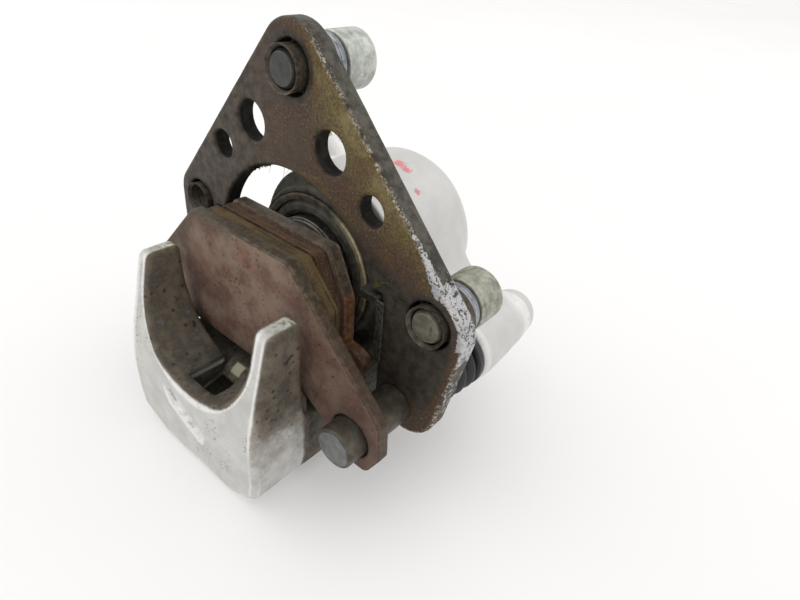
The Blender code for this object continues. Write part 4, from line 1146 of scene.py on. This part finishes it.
def make_clip(name, node, side):
    """Spring-steel channel on the guide edge, with its folded tab."""
    low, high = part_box(node)
    bottom, top = low.z / MM - AXIS_HEIGHT, high.z / MM - AXIS_HEIGHT
    thick, edge, leg = 0.8, GUIDE_HALF - 0.3, 2.0
    front, rear = PLATE_FRONT - 0.3, PLATE_REAR + 0.3
    channel = ((edge - thick, front - thick), (edge + leg, front - thick), (edge + leg, front), (edge, front),
               (edge, rear), (edge + leg, rear), (edge + leg, rear + thick), (edge - thick, rear + thick))

    def field(x, y, z):
        across = x * side
        body = slab(outline(across, y, channel), z, bottom, 9.2, 0.25)
        tab = slab(np.maximum(np.abs(across - 34.0) - 3.5, np.abs(z - 8.7) - 1.5), y, -1.1, 9.5, 0.35)
        return soft_min(body, tab, 0.5)

    ends = sorted((side * (edge - 8.6), side * (edge + leg + 1.5)))
    field_piece(name, field, (ends[0], -3.0, bottom - 1.5), (ends[1], 11.0, top + 1.5), 0.32, CLIP,
                "bracket", (node,), 0.8)


def make_pad_spring():
    """Leaf spring in the bridge window, with a tongue bent up against the pads."""
    path = ((-34.6, -36.0), (-33.6, -32.2), (-32.4, -30.6), (-30.4, -29.9), (-27.0, -29.4), (-24.6, -28.2),
            (-22.6, -26.2), (-20.6, -25.2), (-16.0, -24.9), (-13.0, -25.0), (-11.5, -27.0), (-10.8, -31.0),
            (-10.6, -36.0))
    thick, half = 0.8, 5.9

    def field(x, y, z):
        nearest = None
        for (ay, az), (by, bz) in zip(path, path[1:]):
            step = capsule(y, z, (ay, az - 0.4), thick / 2.0, (by, bz - 0.4), thick / 2.0)
            nearest = step if nearest is None else np.minimum(nearest, step)
        body = slab(nearest, x, -half, half, 0.25)
        slot = np.maximum(np.abs(x + 1.6) - 3.0, np.abs(y + 29.4) - 3.6)
        return soft_cut(body, slot, 0.3)

    def bare_marks(x, y, z):
        return {"bare": ramp(-np.abs(x + 0.4), -2.3, -1.9) * ramp(-np.abs(y + 22.6), -1.7, -1.3)}

    field_piece("pad_spring_bent", field, (-7.5, -37.0, -38.5), (7.5, -8.5, -23.0), 0.32, SPRING,
                "caliper", ("pad_spring",), 0.8, bare_marks)


make_clip("pad_clip_right_bent", "pad_clip_right", 1.0)
make_clip("pad_clip_left_bent", "pad_clip_left", -1.0)
make_pad_spring()


# ---------------------------------------------------------------- boots, seals, piston and bleeder

def make_boot(name, node, place):
    """Bellows of round folds between the bracket's pin and the caliper's boss."""
    front, rear = middle(node)[1:]
    folds, per_fold = 4, 14
    profile = [(7.2, front, 0.3), (7.9, front + 0.5, 1.0), (8.1, front + 1.6, 0.4)]
    start, stop = front + 2.0, rear - 3.2
    for i in range(folds * per_fold + 1):
        share = i / (folds * per_fold)
        wave = 0.5 - 0.5 * math.cos(2.0 * math.pi * folds * share)
        crest = 9.6 + 1.3 * share
        profile.append((crest - 2.5 * (1.0 - wave ** 0.7), start + (stop - start) * share, wave))
    profile += [(10.2, rear - 2.9, 0.3), (10.9, rear - 2.4, 1.0), (11.0, rear - 1.2, 0.5),
                (10.8, rear - 0.05, 0.6), (4.8, rear, 0.0), (4.8, front, 0.0)]
    boot = lathe(name, profile, place, RUBBER, "caliper", (node,))
    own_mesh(boot)


def make_seal():
    """The dust seal's smooth face and lip, in a plated retaining ring."""
    front, rear = middle("dust_seal")[1:]
    lip = rounded([
        (17.4, front + 0.6, 0.2), (18.8, front - 0.8, 0.7), (20.8, front - 0.7, 0.6),
        (21.9, front + 0.6, 0.4), (21.9, rear, 0.2), (17.4, rear - 0.3, 0.2),
    ])
    lathe("dust_seal_lip", lip, (0.0, 0.0), SEAL, "caliper", ("dust_seal",))
    ring = rounded([(22.0, front - 0.5, 0.3), (24.2, front - 0.9, 0.5), (24.2, rear, 0.2), (22.0, rear, 0.2)])
    lathe("dust_seal_ring", ring, (0.0, 0.0), RING, "caliper")


def make_piston():
    """The hollow cup with a groove for the dust seal, its square seal and the shim before it."""
    front, rear = middle("piston")[1:]
    outer, cup, floor, groove = 17.0, 12.5, front + 24.0, 16.0
    walls = rounded([
        (0.0, floor, 0.0), (cup, floor, 1.2), (cup, front, 1.0), (outer, front, 0.7),
        (outer, front + 3.0, 0.2), (groove, front + 3.4, 0.2), (groove, front + 5.6, 0.2),
        (outer, front + 6.0, 0.2), (outer, rear, 1.0), (0.0, rear, 0.0),
    ])
    lathe("piston_ground", walls, (0.0, 0.0), CHROME, "piston", ("piston",), sides=120)
    square = ring_band(17.3, 19.9, *middle("piston_seal")[1:])
    lathe("piston_seal_ring", square, (0.0, 0.0), RUBBER, "caliper", ("piston_seal",))
    sheet = ring_band(10.0, 19.0, *middle("inner_shim")[1:], inner_edge=0.15)
    lathe("inner_shim_plate", sheet, (0.0, 0.0), SHIM, "inner_pad", ("inner_shim",))


def lifted(point):
    """From a turned profile along Y to the bleeder's axis, which leaves the cylinder up and to the left."""
    out = Vector((-DIAGONAL, 0.0, DIAGONAL))
    side = Vector((DIAGONAL, 0.0, DIAGONAL))
    return out * point.y + side * point.x + Vector((0.0, BLEEDER_AT - point.z, AXIS_HEIGHT))


def make_bleeder():
    """The plated screw with its hexagon and hose end, under a rubber cap."""
    seat = BLEEDER_SEAT
    stem = rounded([
        (0.0, 28.8, 0.0), (1.2, 28.8, 0.2), (3.0, 30.6, 0.3), (3.0, seat + 1.0, 0.0), (4.3, seat + 1.0, 0.2),
    ])
    first = len(stem)
    stem += [(4.0, seat + 1.3, 0.6), (4.0, seat + 6.1, 0.6)]
    stem += rounded([
        (4.0, seat + 6.5, 0.2), (2.4, seat + 7.5, 0.3), (2.4, seat + 9.0, 0.3), (3.2, seat + 10.5, 0.5),
        (2.0, seat + 14.0, 0.4), (0.0, seat + 14.0, 0.0),
    ])
    lathe("bleeder_screw_plated", stem, None, BLEEDER, "bleeder", ("bleeder_screw",),
          frame_of=lifted, flats=(first, first + 1))
    hood = rounded([
        (0.0, seat + 16.8, 0.0), (3.7, seat + 16.4, 0.8), (4.5, seat + 14.4, 0.8), (4.7, seat + 8.6, 0.5),
        (5.6, seat + 8.0, 0.4), (5.6, seat + 6.9, 0.3), (4.9, seat + 6.9, 0.2), (3.5, seat + 8.6, 0.2),
        (3.5, seat + 14.4, 0.3), (0.0, seat + 14.4, 0.0),
    ])
    lathe("bleeder_cap_rubber", hood, None, RUBBER, "bleeder", ("bleeder_cap",),
          frame_of=lifted)


make_boot("guide_boot_right_folds", "guide_boot_right", PIN_RIGHT)
make_boot("guide_boot_left_folds", "guide_boot_left", PIN_LEFT)
make_seal()
make_piston()
make_bleeder()


# ---------------------------------------------------------------- grime

class Strands:
    """Thin crooked fibres gathered into one mesh."""

    def __init__(self, seed):
        self.chance = random.Random(seed)
        self.verts = []
        self.faces = []

    def add(self, start, direction, length, width, bend=0.35, steps=4):
        """One fibre, thinner towards its end."""
        base = len(self.verts)
        spot = Vector(start)
        heading = Vector(direction).normalized()
        side = heading.cross(Vector((0.3, 1.0, 0.2))).normalized()
        for i in range(steps + 1):
            thin = width * (1.0 - 0.75 * i / steps)
            for angle in (0.0, 120.0, 240.0):
                turn = Matrix.Rotation(math.radians(angle), 3, heading)
                self.verts.append((spot + turn @ side * thin) * MM)
            heading = (heading + Vector([self.chance.uniform(-bend, bend) for _ in range(3)])).normalized()
            spot = spot + heading * length / steps
        for i in range(steps):
            for k in range(3):
                a, b = base + 3 * i + k, base + 3 * i + (k + 1) % 3
                self.faces.append((a, b, b + 3, a + 3))
        self.faces.append((base, base + 2, base + 1))
        last = base + 3 * steps
        self.faces.append((last, last + 1, last + 2))

    def piece(self, name, material, body, slot):
        mesh = bpy.data.meshes.new(name)
        mesh.from_pydata(self.verts, [], self.faces)
        marks(mesh, worn=[0.0] * len(self.verts), hollow=[0.0] * len(self.verts))
        return shown(name, mesh, material, body, (), None)


def on_arch(angle, along, out=0.3):
    """A point on the arch's edge, angle in degrees round the piston axis."""
    turn = math.radians(angle)
    return ((ARCH_R + out) * math.cos(turn), along, (ARCH_R + out) * math.sin(turn) + AXIS_HEIGHT)


def make_grime():
    """Matted dirt in clumps along the left of the arch, and bits of moss on the edges."""
    dirt = Strands(SEED)
    chance = dirt.chance
    clumps = [(chance.triangular(99.0, 140.0, 116.0), chance.uniform(1.0, 5.0), chance.uniform(0.5, 1.5))
              for _ in range(44)]
    for angle, along, size in clumps:
        for _ in range(9):
            start = on_arch(angle + chance.gauss(0.0, 1.1), along + chance.gauss(0.0, 0.6))
            heading = (chance.uniform(-0.6, 0.9), chance.uniform(-0.5, 0.5), -1.0)
            dirt.add(start, heading, size * chance.uniform(0.6, 1.3), chance.uniform(0.22, 0.50), 0.7)
    for angle, length in ((96.0, 5.0), (93.0, 2.6), (107.0, 3.4), (124.0, 3.0)):
        dirt.add(on_arch(angle, 2.0), (0.1, -0.1, -1.0), length, 0.10)
    dirt.piece("arch_grime", GRIME, "bracket", "bracket_steel")
    moss = Strands(SEED + 1)
    chance = moss.chance
    front = PLATE_FRONT - 0.1
    spots = ((36.5, -0.8, 14.0, 1.6, 14), (42.0, front, 20.5, 1.2, 8), (40.5, front, 16.5, 2.4, 10),
             (44.5, front, 12.0, 1.4, 8), (-28.0, front, 43.2, 0.9, 6), (-22.5, front, 50.6, 1.0, 6))
    for x, y, z, size, count in spots:
        for _ in range(count):
            start = (x + chance.gauss(0.0, 0.5), y, z + chance.gauss(0.0, 0.7) + AXIS_HEIGHT)
            heading = (chance.uniform(-1.0, 1.0), chance.uniform(-0.9, -0.1), chance.uniform(-1.0, 1.0))
            moss.add(start, heading, size * chance.uniform(0.5, 1.3), chance.uniform(0.06, 0.14), 0.8)
    moss.piece("moss_bits", MOSS, "bracket", "bracket_steel")


make_grime()


# ---------------------------------------------------------------- floor, light and camera

def make_floor():
    """The tabletop that the object lies on."""
    half, gap = 4.0, 0.0002
    mesh = bpy.data.meshes.new("floor")
    corners = [(-half, -half, 0.0), (half, -half, 0.0), (half, half, 0.0), (-half, half, 0.0)]
    mesh.from_pydata(corners, [], [(0, 1, 2, 3)])
    mesh.materials.append(floor_look())
    floor = bpy.data.objects.new("floor", mesh)
    bpy.context.scene.collection.objects.link(floor)
    floor.location.z = cad_low.z - gap


def lamp(name, place, size, power, colour):
    """A round soft light aimed at the middle of the object."""
    light = bpy.data.lights.new(name, "AREA")
    light.shape = "DISK"
    light.size = size
    light.energy = power
    light.color = colour
    holder = bpy.data.objects.new(name, light)
    holder.location = place
    holder.rotation_euler = (Vector((0.0, 0.0, 0.05)) - Vector(place)).to_track_quat("-Z", "Y").to_euler()
    bpy.context.scene.collection.objects.link(holder)


def make_light():
    """Even daylight from all round, with a soft key from the front left and a weak one from behind."""
    world = bpy.data.worlds.new("studio")
    world.use_nodes = True
    back = world.node_tree.nodes["Background"]
    back.inputs["Color"].default_value = (1.0, 0.995, 0.985, 1.0)
    back.inputs["Strength"].default_value = 0.96
    bpy.context.scene.world = world
    lamp("key", (-0.85, -0.60, 1.25), 1.6, 5.0, (1.0, 0.99, 0.97))
    lamp("back", (0.35, 0.95, 1.1), 1.2, 2.0, (0.97, 0.98, 1.0))
    bpy.context.scene.view_settings.view_transform = "Standard"


def make_camera():
    """Close by, above the front right of the object and looking down on it, leaning a little."""
    stand = Vector((0.1203, -0.0997, 0.1498))
    forward = Vector((-0.5023, 0.6601, -0.5586)).normalized()
    up = Vector((-0.4133, 0.3842, 0.8256))
    right = forward.cross(up).normalized()
    up = right.cross(forward)
    turn = Matrix((right, up, -forward)).transposed().to_4x4()
    data = bpy.data.cameras.new("camera")
    data.lens = 25.4
    data.sensor_width = 36.0
    data.clip_start = 0.005
    camera = bpy.data.objects.new("camera", data)
    bpy.context.scene.collection.objects.link(camera)
    camera.matrix_world = Matrix.Translation(stand) @ turn
    bpy.context.scene.camera = camera


make_floor()
make_light()
make_camera()
